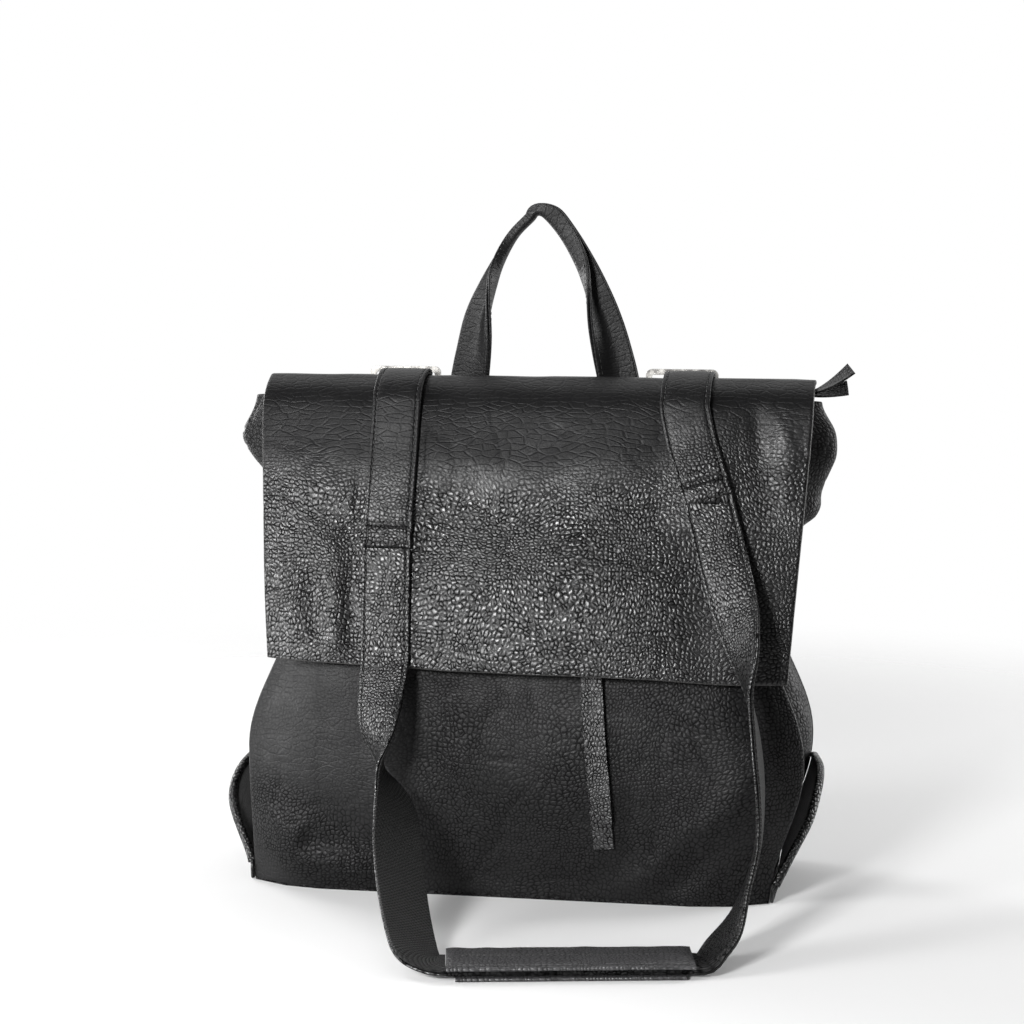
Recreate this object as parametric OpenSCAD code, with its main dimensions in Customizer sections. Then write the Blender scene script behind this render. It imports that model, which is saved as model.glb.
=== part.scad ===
/* [Body] */
// Width of the base
base_w = 320; // [290:5:350]
// How far the base is set to the left of the middle
base_shift = 9; // [0:1:12]
// Depth of the base, front to back
base_d = 120; // [100:2:140]
// Height of the top zip line above the base
bag_h = 300; // [270:5:330]
// Width of the panels at their fullest height
belly_w = 342; // [320:2:370]
// Depth of the body at its fullest height
belly_d = 132; // [120:2:150]
// Height at which the body is fullest
belly_z = 70; // [50:5:90]
// Width of the panels at the waist, under the flap
waist_w = 292; // [270:2:310]
// Width of the panels along the top edge
top_w = 336; // [310:2:350]
// Depth between the panels at the top edge
top_d = 26; // [22:1:34]
// Width across the gusset ears beside the flap
ear_w = 374; // [356:2:390]
// Width between the gusset folds at the waist
fold_w = 258; // [230:2:280]
// Thickness of the body leather
leather_t = 2.2; // [1.6:0.1:2.6]
// How far the panels curve back at their side edges, as a share of the depth
edge_tuck = 0.25; // [0.15:0.01:0.35]

/* [Side pockets] */
// Height of the pocket rims beside the back panel
pocket_h = 72; // [60:1:110]
// Height at which the pocket rims start beside the front panel
pocket_foot = 8; // [4:1:30]
// How far the left pocket stands out from the panel edges
left_bulge = 20; // [8:1:30]
// How far the right pocket stands out from the panel edges
right_bulge = 9; // [8:1:30]

/* [Flap] */
// Width of the flap along the top fold
flap_w = 344; // [320:2:356]
// Half width of the flap's hem, left of the middle
hem_left = 155; // [145:1:165]
// Half width of the flap's hem, right of the middle
hem_right = 162; // [150:1:170]
// Height of the hem at its left end
hem_left_z = 144; // [120:1:180]
// Height of the hem at its right end
hem_right_z = 137; // [115:1:175]
// Space between the front panel and the flap leather
flap_gap = 8; // [7:0.5:12]
// Height of the flap's top fold above the zip line
flap_rise = 14; // [12:0.5:18]
// Thickness of the flap's backing
backing_t = 0.8; // [0.5:0.1:1.2]
// How far the flap's side edges drape back at the hem
flap_drape = 6; // [2:0.5:8]

/* [Straps] */
// Width of the straps
strap_w = 30; // [24:1:34]
// Thickness of the strap leather
strap_leather_t = 1.8; // [1.2:0.1:2.2]
// Thickness of the strap webbing
webbing_t = 1.4; // [1:0.1:1.8]
// Distance of each back ring from the middle
ring_x = 88; // [82:1:96]
// Distance of each lower ring from the middle
lower_ring_x = 124; // [110:1:130]
// Length of the shoulder pad
pad_l = 136; // [110:2:150]
// Width of the shoulder pad
pad_w = 38; // [36:1:44]
// Thickness of each of the pad's two leathers
pad_t = 2.2; // [1.6:0.1:2.6]
// How far in front of the base the pad lies
pad_reach = 139; // [125:1:160]
// Distance of the pad's middle to the right of the middle
pad_x = 53; // [45:1:60]
// Turn of the pad on the ground, in degrees
pad_turn = 11.5; // [6:0.5:16]

/* [Handle] */
// Height of the handle above its root stitching
handle_h = 183; // [160:1:200]
// Distance of each handle leg from the middle
handle_x = 52; // [46:1:56]
// Width of the handle strip
handle_w = 26; // [20:1:28]
// Thickness of each of the handle's two leathers
handle_t = 1.9; // [1.4:0.1:2.2]
// Height of the handle's roots above the base
handle_root_z = 242; // [225:1:250]

/* [Zips and pulls] */
// Gap between each end of the top zip and the panels' side edges
zip_end_gap = 3; // [3:0.5:8]
// Length of the front pocket zip
front_zip_l = 168; // [120:6:180]
// Height of the front pocket zip
front_zip_z = 168; // [160:1:180]
// How far the front pocket zip is set to the left of the middle
front_zip_shift = 22; // [10:1:24]
// Distance of the resting front slider to the right of the middle
front_slider_x = 42; // [30:1:50]
// Spacing of the zip teeth
tooth_pitch = 3; // [2.5:0.5:4]
// Length of the long leather pull on the front slider
pull_l = 122; // [90:1:124]
// Width of the long leather pull
pull_w = 13; // [10:0.5:15]
// Length of the leather pull on the top slider
top_pull_l = 30; // [20:1:34]
// Lean of the long pull from straight down, in degrees
pull_lean = 5; // [0:0.5:6]

/* [Snap] */
// Radius of the snap's discs
snap_r = 8.5; // [6:0.5:10]
// Height of the snap
snap_z = 198; // [192:1:210]

/* [Hidden] */
$fn = 32;

leather_color = [0.07, 0.07, 0.075];
inside_color = [0.12, 0.11, 0.11];
webbing_color = [0.1, 0.1, 0.1];
cloth_color = [0.2, 0.2, 0.22];
metal_color = [0.72, 0.71, 0.68];
board_color = [0.3, 0.3, 0.3];

// Clearance between soft pieces that lie on each other
lay = 0.15;
// Clearance between pieces that move past each other
clear = 0.6;
// Half of the slit between the fixed and the moving part of a folded strip
slit = 0.3;
// Half of the slit of a strap over the flap's crease
crease_slit = 0.8;
// The panels stand on the base panel
floor_t = leather_t + lay;
// Share of the half width over which the panels are flat from side to side
flat_share = 0.72;
// Height at which the gusset fold is deepest, and those where the ears stand out
waist_z = 0.52 * bag_h;
ear_z = 0.915 * bag_h;
// Number of facets up the panels and across the gussets
up = 12;
gusset_steps = 8;

strap_t = strap_leather_t + webbing_t + lay;

// ---------- functions for smooth forms

function mix(a, b, t) = a + (b - a) * t;
function clip(t) = min(1, max(0, t));
function ease(t) = (1 - cos(180 * clip(t))) / 2;
function unit(v) = v / norm(v);
function total(v) = v * [for (k = v) 1];

// Eased reading of a table of [height, value] pairs
function level(z, table, i = 0) =
    i >= len(table) - 2 || z < table[i + 1][0]
    ? mix(table[i][1], table[i + 1][1],
        ease((z - table[i][0]) / (table[i + 1][0] - table[i][0])))
    : level(z, table, i + 1);

function curve_point(a, b, c, d, t) =
    0.5 * (2 * b + (c - a) * t + (2 * a - 5 * b + 4 * c - d) * t * t
    + (3 * b - a - 3 * c + d) * t * t * t);

// Smooth curve through the stations p
function curve(p, steps) = let (last = len(p) - 1) [
    for (i = [0 : last - 1], k = [0 : steps - 1])
        curve_point(p[max(i - 1, 0)], p[i], p[i + 1], p[min(i + 2, last)], k / steps),
    p[last]
];

function place_of(station) = [station[0], station[1], station[2]];
function hint_of(station) = [station[3], station[4], station[5]];
function heading(path, i) =
    unit(place_of(path[min(i + 1, len(path) - 1)]) - place_of(path[max(i - 1, 0)]));
function squared(hint, along) = unit(hint - along * (hint * along));

// Frames [place, width direction, face direction, heading] along a path
function frames(path, start_cut = undef, end_cut = undef) = [
    for (i = [0 : len(path) - 1]) let (
        along = heading(path, i),
        wide = i == 0 && !is_undef(start_cut) ? start_cut
            : i == len(path) - 1 && !is_undef(end_cut) ? end_cut
            : squared(hint_of(path[i]), along)
    ) [place_of(path[i]), wide, unit(cross(along, wide)), along]
];

function signed_volume(points, faces) =
    total([for (f = faces) points[f[0]] * cross(points[f[1]], points[f[2]])]);

function reversed(faces) = [for (f = faces) [f[2], f[1], f[0]]];

// Closed solid between two grids of points of the same size
module sheet(outer, inner) {
    rows = len(outer);
    cols = len(outer[0]);
    n = rows * cols;
    points = [for (row = outer) each row, for (row = inner) each row];
    faces = [
        for (i = [0 : rows - 2], j = [0 : cols - 2]) let (a = i * cols + j) each [
            [a, a + 1, a + cols + 1], [a, a + cols + 1, a + cols],
            [n + a, n + a + cols + 1, n + a + 1], [n + a, n + a + cols, n + a + cols + 1]
        ],
        for (j = [0 : cols - 2]) let (b = (rows - 1) * cols + j) each [
            [j, n + j, n + j + 1], [j, n + j + 1, j + 1],
            [b, n + b + 1, n + b], [b, b + 1, n + b + 1]
        ],
        for (i = [0 : rows - 2]) let (a = i * cols, b = a + cols - 1) each [
            [a, a + cols, n + a + cols], [a, n + a + cols, n + a],
            [b, n + b + cols, b + cols], [b, n + b, n + b + cols]
        ]
    ];
    polyhedron(points, signed_volume(points, faces) > 0 ? reversed(faces) : faces);
}

// Flat strip along the frames, between two distances from its middle surface
module strip(track, wide, low, high) {
    rims = [-wide / 2, wide / 2];
    sheet([for (f = track) [for (w = rims) f[0] + f[1] * w + f[2] * high]],
        [for (f = track) [for (w = rims) f[0] + f[1] * w + f[2] * low]]);
}

// The two layers of a strap: leather outside, webbing inside
module strap_leather(track) {
    color(leather_color) strip(track, strap_w, strap_t / 2 - strap_leather_t, strap_t / 2);
}

module strap_webbing(track) {
    color(webbing_color)
        strip(track, strap_w, -strap_t / 2, -strap_t / 2 + webbing_t);
}

// Moves children into a frame: X along the width, Y against the heading, Z out of the face
module seat(f) {
    x = f[1];
    y = -f[3];
    z = f[2];
    multmatrix([
        [x[0], y[0], z[0], f[0][0]], [x[1], y[1], z[1], f[0][1]],
        [x[2], y[2], z[2], f[0][2]], [0, 0, 0, 1]
    ]) children();
}

module rounded(w, h, r) {
    square([w - 2 * r, h], center = true);
    square([w, h - 2 * r], center = true);
    for (x = [-1, 1], y = [-1, 1])
        translate([x * (w / 2 - r), y * (h / 2 - r)]) circle(r);
}

module box(w, d, low, high) {
    translate([0, 0, low]) linear_extrude(high - low) square([w, d], center = true);
}

// ---------- form of the body

// Half depth of the body at height z, in the middle
function depth(z) =
    z < belly_z
    ? mix(base_d / 2, belly_d / 2, sin(90 * max(0, z) / belly_z))
    : mix(belly_d / 2, top_d / 2, pow((z - belly_z) / (bag_h - belly_z), 1.5));

// Lean of the front panel from upright at height z, in degrees
function lean(z) = atan((depth(z - 1) - depth(z + 1)) / 2);

// Half width of the panels at height z
function edge(z) = level(z, [
    [0, base_w / 2], [0.29 * bag_h, belly_w / 2], [waist_z + 20, waist_w / 2], [bag_h, top_w / 2]
]);

// Sideways set of the body at height z: the base leans out to the left
function sway(z) = -base_shift * (1 - ease(z / (1.2 * belly_z)));

// Half width at the gusset's middle fold at height z
function fold(z) = level(z, [
    [0, base_w / 2 - 1], [0.26 * bag_h, belly_w / 2 - 26], [waist_z, fold_w / 2],
    [0.74 * bag_h, waist_w / 2 + 6], [ear_z, ear_w / 2], [bag_h + 1, ear_w / 2 - 10]
]);

// Half depth of a panel at the share u of its half width
function tuck(z) = edge_tuck * ease((bag_h - z) / (0.35 * bag_h));
function panel_depth(u, z) =
    depth(z) * (1 - tuck(z) * pow(max(0, abs(u) - flat_share) / (1 - flat_share), 2));
function seam_depth(z) = panel_depth(1, z);

// Half width of the gusset at the share v of its half depth
function gusset_x(v, z) = mix(edge(z), fold(z), (1 + cos(180 * v)) / 2);

panel_levels = [for (k = [0 : up]) mix(floor_t, bag_h, pow(k / up, 0.9))];
panel_shares = [-1, -0.93, -0.84, -flat_share, -0.4, 0, 0.4, flat_share, 0.84, 0.93, 1];

module panel(facing, low = 0, thick = leather_t) {
    function spot(u, z, inset) = [u * edge(z) + sway(z), facing * (panel_depth(u, z) - inset), z];
    sheet([for (z = panel_levels) [for (u = panel_shares) spot(u, z, low)]],
        [for (z = panel_levels) [for (u = panel_shares) spot(u, z, low + thick)]]);
}

module gusset(side) {
    shares = [for (k = [0 : gusset_steps]) 2 * k / gusset_steps - 1];
    function spot(v, z, inset) = [
        side * (gusset_x(v, z) - inset) + sway(z),
        v * (seam_depth(z) - leather_t - lay), z
    ];
    sheet([for (z = panel_levels) [for (v = shares) spot(v, z, 0)]],
        [for (z = panel_levels) [for (v = shares) spot(v, z, leather_t)]]);
}

// Outline of the body at height z, drawn in by inset
function outline(z, inset) =
    let (
        shares = [-1, -0.86, -flat_share, 0, flat_share, 0.86],
        turns = [-1, -0.6, -0.25, 0.25, 0.6],
        w = edge(z) - inset,
        front = [for (u = shares) [u * w, inset - panel_depth(u, z)]],
        right = [for (v = turns) [gusset_x(v, z) - inset, v * (seam_depth(z) - inset)]]
    ) [for (p = concat(front, right, -front, -right)) p + [sway(z), 0]];

// ---------- body nodes

// Frame of the front zip: X along the zip, Z out of the panel
module front_zip_seat(out = 0) {
    translate([0, -depth(front_zip_z), front_zip_z])
        rotate([90 - lean(front_zip_z), 0, 0]) translate([0, 0, out]) children();
}

zip_w = 9;
// Depth of the front zip's middle plane behind the panel's face
zip_back = leather_t + 1;

module front_panel() {
    color(leather_color) difference() {
        panel(-1);
        front_zip_seat() translate([-front_zip_shift, 0, 0])
            box(front_zip_l + 6, zip_w + 3, -12, 12);
    }
}

module back_panel() {
    color(leather_color) panel(1);
}

module base_panel() {
    color(leather_color) linear_extrude(leather_t) polygon(outline(0, 0));
}

module base_board() {
    color(board_color) translate([sway(0), 0, floor_t]) linear_extrude(2.4)
        rounded(base_w - 24, base_d * (1 - edge_tuck) - 12, 10);
}

module gusset_left() {
    color(leather_color) gusset(-1);
}

module gusset_right() {
    color(leather_color) gusset(1);
}

// Room between the pockets' edges and the seams that they are sewn along
pocket_lap = 0.9;

// The rim climbs from its foot at the front seam to its full height at the back one
module side_pocket(side) {
    rows = 10;
    shares = [for (k = [0 : 12]) k / 6 - 1];
    bulge = side < 0 ? left_bulge : right_bulge;
    function rim(v) = mix(pocket_foot, pocket_h, ease((v + 1) / 0.9));
    function spot(v, s, out) =
        let (
            z = mix(0.4, rim(v), s), swell = mix(0.03, 1, s),
            forward = v + 0.25 * (1 - v * v)
        ) [
            side * (edge(z) + pocket_lap + bulge * swell * pow(cos(90 * forward), 0.8) + out) + sway(z),
            v * seam_depth(z), z
        ];
    sheet([for (k = [0 : rows]) [for (v = shares) spot(v, k / rows, leather_t)]],
        [for (k = [0 : rows]) [for (v = shares) spot(v, k / rows, 0)]]);
}

module side_pocket_left() {
    color(leather_color) side_pocket(-1);
}

module side_pocket_right() {
    color(leather_color) side_pocket(1);
}

cloth_t = 0.8;
// Room for the front pocket between the panel and the lining
lining_inset = leather_t + 6.6;

module lining() {
    rows = 9;
    low = floor_t + 3;
    levels = [for (k = [0 : rows]) mix(low, bag_h - 4, k / rows)];
    function ring(z, inset, lift = 0) = [for (p = outline(z, inset)) [p[0], p[1], z + lift]];
    outer = [for (z = levels) ring(z, inset_at(z))];
    inner = [for (k = [0 : rows]) ring(levels[k], inset_at(levels[k]) + cloth_t,
        k == 0 ? cloth_t : 0)];
    function inset_at(z) = mix(lining_inset, leather_t + 2.6, ease((z - 0.6 * bag_h) / (0.3 * bag_h)));
    m = len(outer[0]);
    n = m * (rows + 1);
    points = [for (row = outer) each row, for (row = inner) each row];
    faces = [
        for (i = [0 : rows - 1], j = [0 : m - 1]) let (a = i * m + j, b = i * m + (j + 1) % m)
            each [
                [a, b, b + m], [a, b + m, a + m],
                [n + a, n + b + m, n + b], [n + a, n + a + m, n + b + m]
            ],
        for (j = [0 : m - 1]) let (a = rows * m + j, b = rows * m + (j + 1) % m) each [
            [a, b, n + b], [a, n + b, n + a]
        ]
    ];
    floor_faces = [[for (j = [m - 1 : -1 : 0]) j], [for (j = [0 : m - 1]) n + j]];
    color(cloth_color)
        polyhedron(points, [for (f = concat(faces, floor_faces)) [for (k = [len(f) - 1 : -1 : 0]) f[k]]]);
}

module inner_slip_pocket() {
    levels = [for (k = [0 : 4]) mix(0.42 * bag_h, 0.75 * bag_h, k / 4)];
    back = lining_inset + cloth_t + 1;
    color(cloth_color) sheet(
        [for (z = levels) [for (x = [-70, 70]) [x, depth(z) - back, z]]],
        [for (z = levels) [for (x = [-70, 70]) [x, depth(z) - back - cloth_t, z]]]);
}

module front_pocket_bag() {
    levels = [for (k = [0 : 5]) mix(0.22 * bag_h, front_zip_z + 14, k / 5)];
    front = leather_t + 4.6;
    reach = front_zip_l / 2 + 8;
    color(cloth_color) translate([-front_zip_shift, 0, 0]) sheet(
        [for (z = levels) [for (x = [-reach, reach]) [x, -(depth(z) - front), z]]],
        [for (z = levels) [for (x = [-reach, reach]) [x, -(depth(z) - front - cloth_t), z]]]);
}

// ---------- zips: X along the zip, the teeth's middle plane at Z 0

tape_t = 0.7;
tooth_t = 2.4;
tooth_l = 2.6;
// Half of the slit between the two rows of teeth
zip_slit = 0.55;

module zip_tape(long, wide, side) {
    translate([0, side * (zip_slit + tooth_l + (wide - tooth_l) / 2), 0])
        box(long, wide - tooth_l, -tape_t / 2, tape_t / 2);
}

// One row of teeth on its cord
module zip_row(long, side) {
    count = floor(long / tooth_pitch);
    cord = zip_slit + tooth_l - 0.9;
    comb = [
        for (k = [0 : count - 1]) let (x = (k - count / 2) * tooth_pitch) each [
            [x, cord], [x, zip_slit], [x + tooth_pitch * 0.5, zip_slit], [x + tooth_pitch * 0.5, cord]
        ],
        [count * tooth_pitch / 2, cord + 0.85], [-count * tooth_pitch / 2, cord + 0.85]
    ];
    translate([0, 0, -tooth_t / 2]) linear_extrude(tooth_t)
        polygon([for (p = comb) [p[0], side * p[1]]]);
}

module zip_stops(long) {
    for (x = [-1, 1], side = [-1, 1])
        translate([x * (long / 2 + 1.6), side * (zip_slit + 1.3), 0]) box(2.4, 2.4, -1.5, 1.5);
}

slider_l = 12;
slider_w = 9.4;
plate_t = 1.1;
post_r = 1.6;
post_h = 4.2;
// Height of the pull's ring above the slider's upper plate
ring_lift = 1.3;
pull_plate_t = 1.2;
// The slider's plates stand this far from the zip's middle plane
plate_low = tooth_t / 2 + 0.35;
plate_high = plate_low + plate_t;

module zip_slider() {
    color(metal_color) {
        difference() {
            union() {
                translate([0, 0, plate_low]) linear_extrude(plate_t) rounded(slider_l, slider_w, 2);
                translate([0, 0, -plate_high]) linear_extrude(plate_t) rounded(slider_l, slider_w, 2);
                for (side = [-1, 1]) translate([0, side * (slider_w / 2 - 0.45), 0]) {
                    box(slider_l - 4, 0.9, 0.75, plate_low + 0.2);
                    box(slider_l - 4, 0.9, -plate_low - 0.2, -0.75);
                }
            }
            translate([-slider_l / 2, 0, plate_low + 0.5]) box(1.6, 3, 0, plate_t);
        }
        box(3.4, 0.5, -plate_low - 0.2, plate_low + 0.2);
        translate([0, 0, plate_high - 0.2]) cylinder(h = post_h - 0.6, r = post_r);
        translate([0, 0, plate_high + post_h - 1]) cylinder(h = 1, r = post_r + 1.1);
    }
}

// Flat ring on the slider's post, with an eye for the leather, leading towards -Y
module pull_ring() {
    eye = 11;
    color(metal_color) translate([0, 0, plate_high + ring_lift]) linear_extrude(pull_plate_t) difference() {
        union() {
            circle(post_r + 1.8);
            translate([0, -3.2]) square([4.4, 4], center = true);
            translate([0, -eye / 2 - 2.2]) rounded(pull_w - 2, 7.5, 2);
        }
        circle(post_r + 0.25);
        translate([0, -eye / 2 - 2.4]) square([pull_w - 5.5, 3.4], center = true);
    }
}

pull_start = 11.8;
top_zip_l = top_w - 2 * zip_end_gap;
top_slider_x = top_zip_l / 2 - slider_l / 2 - 2;

module on_top() {
    translate([0, 0, bag_h]) children();
}

tape_w = top_d / 2 - zip_slit - leather_t - lay;

module top_zip_tape_front() {
    color(webbing_color) on_top() zip_tape(top_zip_l, tape_w, -1);
}

module top_zip_tape_back() {
    color(webbing_color) on_top() zip_tape(top_zip_l, tape_w, 1);
}

module top_zip_teeth_front() {
    color(metal_color) on_top() zip_row(top_zip_l, -1);
}

module top_zip_teeth_back() {
    color(metal_color) on_top() zip_row(top_zip_l, 1);
}

module top_zip_stops() {
    color(metal_color) on_top() zip_stops(top_zip_l);
}

module top_zip_slider() {
    on_top() translate([top_slider_x, 0, 0]) zip_slider();
}

module top_pull_ring() {
    on_top() translate([top_slider_x, 0, 0]) rotate([0, 0, 90]) pull_ring();
}

module top_pull_leather() {
    low = plate_high + ring_lift - 0.2;
    color(leather_color) on_top() translate([top_slider_x + pull_start, 0, low])
        linear_extrude(1.6) polygon([
            [0, -5], [top_pull_l, -7], [top_pull_l + 3, 0], [top_pull_l - 1, 6], [0, 5]
        ]);
}

module front_zip_tapes() {
    color(webbing_color) front_zip_seat(-zip_back)
        translate([-front_zip_shift, 0, 0])
            for (side = [-1, 1]) zip_tape(front_zip_l + 8, 11, side);
}

module front_zip_frame() {
    front_zip_seat(-zip_back) children();
}

module front_zip_teeth() {
    color(metal_color) front_zip_frame() translate([-front_zip_shift, 0, 0])
        for (side = [-1, 1]) zip_row(front_zip_l, side);
}

module front_zip_stops() {
    color(metal_color) front_zip_frame() translate([-front_zip_shift, 0, 0]) zip_stops(front_zip_l);
}

module front_zip_slider() {
    front_zip_frame() translate([front_slider_x, 0, 0]) zip_slider();
}

module front_pull_ring() {
    front_zip_frame() translate([front_slider_x, 0, 0]) rotate([0, 0, pull_lean]) pull_ring();
}

// Middle line of the long pull: down the front panel from the eye of its ring
function pull_track(short) = let (
    top = front_zip_z - pull_start,
    steps = 9,
    rest = 1.6 + clear,
    path = [for (k = [0 : steps]) let (
        fall = k / steps * (pull_l - short), z = top - fall * cos(pull_lean),
        x = front_slider_x + (fall + pull_start) * sin(pull_lean)
    ) [x, -(depth(z) + rest + 1.4 * (1 - clip(k / 2)) ), z, cos(pull_lean), 0, sin(pull_lean)]]
) frames(path);

module front_pull_outer() {
    color(leather_color) strip(pull_track(16), pull_w, 0.1, 1.5);
}

module front_pull_inner() {
    color(leather_color) strip(pull_track(0), pull_w - 1, -1.4, -0.05);
}

// ---------- snap between the flap and the front panel

module snap_seat() {
    translate([0, -depth(snap_z), snap_z]) rotate([90 - lean(snap_z), 0, 0]) children();
}

snap_room = (flap_gap - backing_t - lay) * cos(lean(snap_z));

module body_snap() {
    color(metal_color) snap_seat() translate([0, 0, 0.3]) {
        cylinder(h = snap_room / 2 - 0.9, r = snap_r);
        cylinder(h = snap_room / 2 - 0.6, r = snap_r - 2);
    }
}

module flap_snap() {
    color(metal_color) snap_seat() difference() {
        translate([0, 0, snap_room / 2]) cylinder(h = snap_room / 2 - 0.3, r = snap_r);
        translate([0, 0, snap_room / 2 - 1]) cylinder(h = 1.5, r = snap_r - 1.6);
    }
}

// ---------- flap

// The flap's top fold is a half ellipse about this height
crown_z = bag_h - 8;
crown_h = bag_h + flap_rise - crown_z;
crown_front = depth(crown_z) + flap_gap + leather_t;
crown_back = depth(crown_z) + leather_t + lay + 0.3;
// Where the flap hinges, in degrees behind the top of the fold
crease = 20;

// Point [y, z] on the fold, phi degrees in front of its top, a distance out of the leather
function fold_point(phi, out) = [
    -sin(phi) * ((phi > 0 ? crown_front : crown_back) + out),
    crown_z + cos(phi) * (crown_h + out)
];

// Front face of the flap at height z, a distance out of the leather
function face_point(z, out) = [-(depth(z) + flap_gap + leather_t + out), z];

function hem_z(u) = mix(hem_left_z, hem_right_z, (u + 1) / 2);
function flap_half(u, s) = mix(flap_w / 2, u < 0 ? hem_left : hem_right, s);
function flap_drop(u) = pow(max(0, abs(u) - flat_share) / (1 - flat_share), 2);

function flap_spot(u, s, out) =
    let (
        z = mix(crown_z, hem_z(u), s),
        p = face_point(z, out)
    ) [u * flap_half(u, s), p[0] + flap_drape * s * flap_drop(u), p[1]];

fold_steps = 7;
face_steps = 8;
flap_shares = [-1, -0.88, -flat_share, -0.36, 0, 0.36, flat_share, 0.88, 1];

function flap_grid(out) = [
    for (k = [0 : fold_steps - 1]) let (
        start = asin(slit / crown_back) - crease,
        p = fold_point(mix(start, 90, k / fold_steps), out)
    ) [for (u = flap_shares) [u * flap_w / 2, p[0], p[1]]],
    for (k = [0 : face_steps]) [for (u = flap_shares) flap_spot(u, k / face_steps, out)]
];

module flap_leather() {
    color(leather_color) sheet(flap_grid(0), flap_grid(-leather_t));
}

module flap_backing() {
    color(inside_color)
        sheet(flap_grid(-leather_t - lay), flap_grid(-leather_t - lay - backing_t));
}

module flap_back_strip() {
    steps = 5;
    seam_z = crown_z - 18;
    function row(k, out) = let (
        start = -crease - asin(slit / crown_back),
        p = fold_point(mix(start, -90, k / steps), out)
    ) [for (u = [-1, -0.5, 0, 0.5, 1]) [u * flap_w / 2 * (1 - 0.03 * k / steps), p[0], p[1]]];
    function low_row(s, out) = let (
        z = mix(crown_z, seam_z, s), w = edge(z) - 1
    ) [for (u = [-1, -0.5, 0, 0.5, 1]) [
        u * min(w, flap_w * 0.485), depth(z) + leather_t + lay + 0.3 + out, z
    ]];
    color(leather_color) sheet(
        [for (k = [0 : steps]) row(k, 0), for (s = [0.5, 1]) low_row(s, 0)],
        [for (k = [0 : steps]) row(k, -leather_t), for (s = [0.5, 1]) low_row(s, -leather_t)]);
}

// ---------- straps

out_mid = clear + strap_t / 2;
// Sides are -1 for the left and 1 for the right
function top_x(side) = side < 0 ? -ring_x + 4 : ring_x + 4;
function joint_x(side) = side < 0 ? -ring_x + 6 : ring_x + 25;
function joint_z(side) = side < 0 ? bag_h * 0.707 : bag_h * 0.807;
function joint_pin(side) =
    let (p = face_point(joint_z(side), out_mid + strap_t / 2 + slit)) [joint_x(side), p[0], p[1]];
// Direction of the line on which the front loop swings
loop_axis = unit(joint_pin(1) - joint_pin(-1));

function over_fold(side, from, to, steps) = [
    for (k = [0 : steps]) let (p = fold_point(mix(from, to, k / steps), out_mid))
        [top_x(side), p[0], p[1], 1, 0, 0]
];

function upper_path(side) = let (steps = 4) concat(
    over_fold(side, asin(crease_slit / crown_back) - crease, 78, fold_steps),
    [for (k = [1 : steps]) let (
        z = mix(crown_z, joint_z(side), k / steps),
        x = mix(top_x(side), joint_x(side), k / steps),
        p = face_point(z, out_mid)
    ) [x, p[0], p[1] + (k == steps ? slit : 0), 1, 0, 0]]
);

module strap_upper_left() {
    strap_leather(frames(upper_path(-1), end_cut = loop_axis));
}

module strap_upper_right() {
    strap_leather(frames(upper_path(1), end_cut = loop_axis));
}

module webbing_upper_left() {
    strap_webbing(frames(upper_path(-1), end_cut = loop_axis));
}

module webbing_upper_right() {
    strap_webbing(frames(upper_path(1), end_cut = loop_axis));
}

// The pad lies on the ground in front of the base
pad_y = -base_d / 2 - pad_reach;
pad_low = 0.2;
core_z = pad_low + pad_t + lay + strap_t / 2;
pad_dir = [cos(pad_turn), sin(pad_turn), 0];
pad_mid = [pad_x, pad_y, 0];
function pad_end(side) = pad_mid + side * pad_dir * (pad_l / 2 + 0.4) + [0, 0, core_z];

// Station on the flap's face, then stations that fall free to the pad
function on_face(x, z, lift, hint) = let (p = face_point(z, out_mid + lift)) [x, p[0], p[1], each hint];
// Station before the pad, in shares of half its length, of its reach and of the hem's height
function from_pad(side, out, back, rise, hint) = let (
    hem = side < 0 ? hem_left_z : hem_right_z,
    away = [side * out * pad_l / 2, back * pad_reach, rise * hem]
) [each (pad_end(side) + away), each hint];
// The straps enter the pad square to its ends
pad_cut = [sin(pad_turn), -cos(pad_turn), 0];
function into_pad(side) = [
    [each (pad_end(side) + side * pad_dir * 7 + [0, 0, 0.5]), each pad_cut],
    [each pad_end(side), each pad_cut]
];

left_path = curve([
    on_face(joint_x(-1), joint_z(-1) - slit, 0, [1, 0, 0]),
    on_face(joint_x(-1) + 1, mix(joint_z(-1), hem_left_z, 0.5), 0, [1, 0, 0]),
    on_face(joint_x(-1) + 2, hem_left_z, 0.5, [1, -0.05, 0]),
    on_face(joint_x(-1) + 2, 0.78 * hem_left_z, 11.6, [0.9, -0.5, 0]),
    on_face(joint_x(-1) + 5, 0.61 * hem_left_z, 15.7, [0.3, -1, 0]),
    from_pad(-1, 0.84, 0.78, 0.43, [-0.5, -0.8, 0.1]),
    from_pad(-1, 0.74, 0.6, 0.28, [-1, -0.5, 0.2]),
    from_pad(-1, 0.59, 0.4, 0.15, [-1, -0.4, 0.3]),
    from_pad(-1, 0.4, 0.18, 0.06, [-0.8, -0.6, 0.25]),
    from_pad(-1, 0.24, 0.03, 0.02, [-0.3, -1, 0.1]),
    each into_pad(-1)
], 3);

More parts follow.
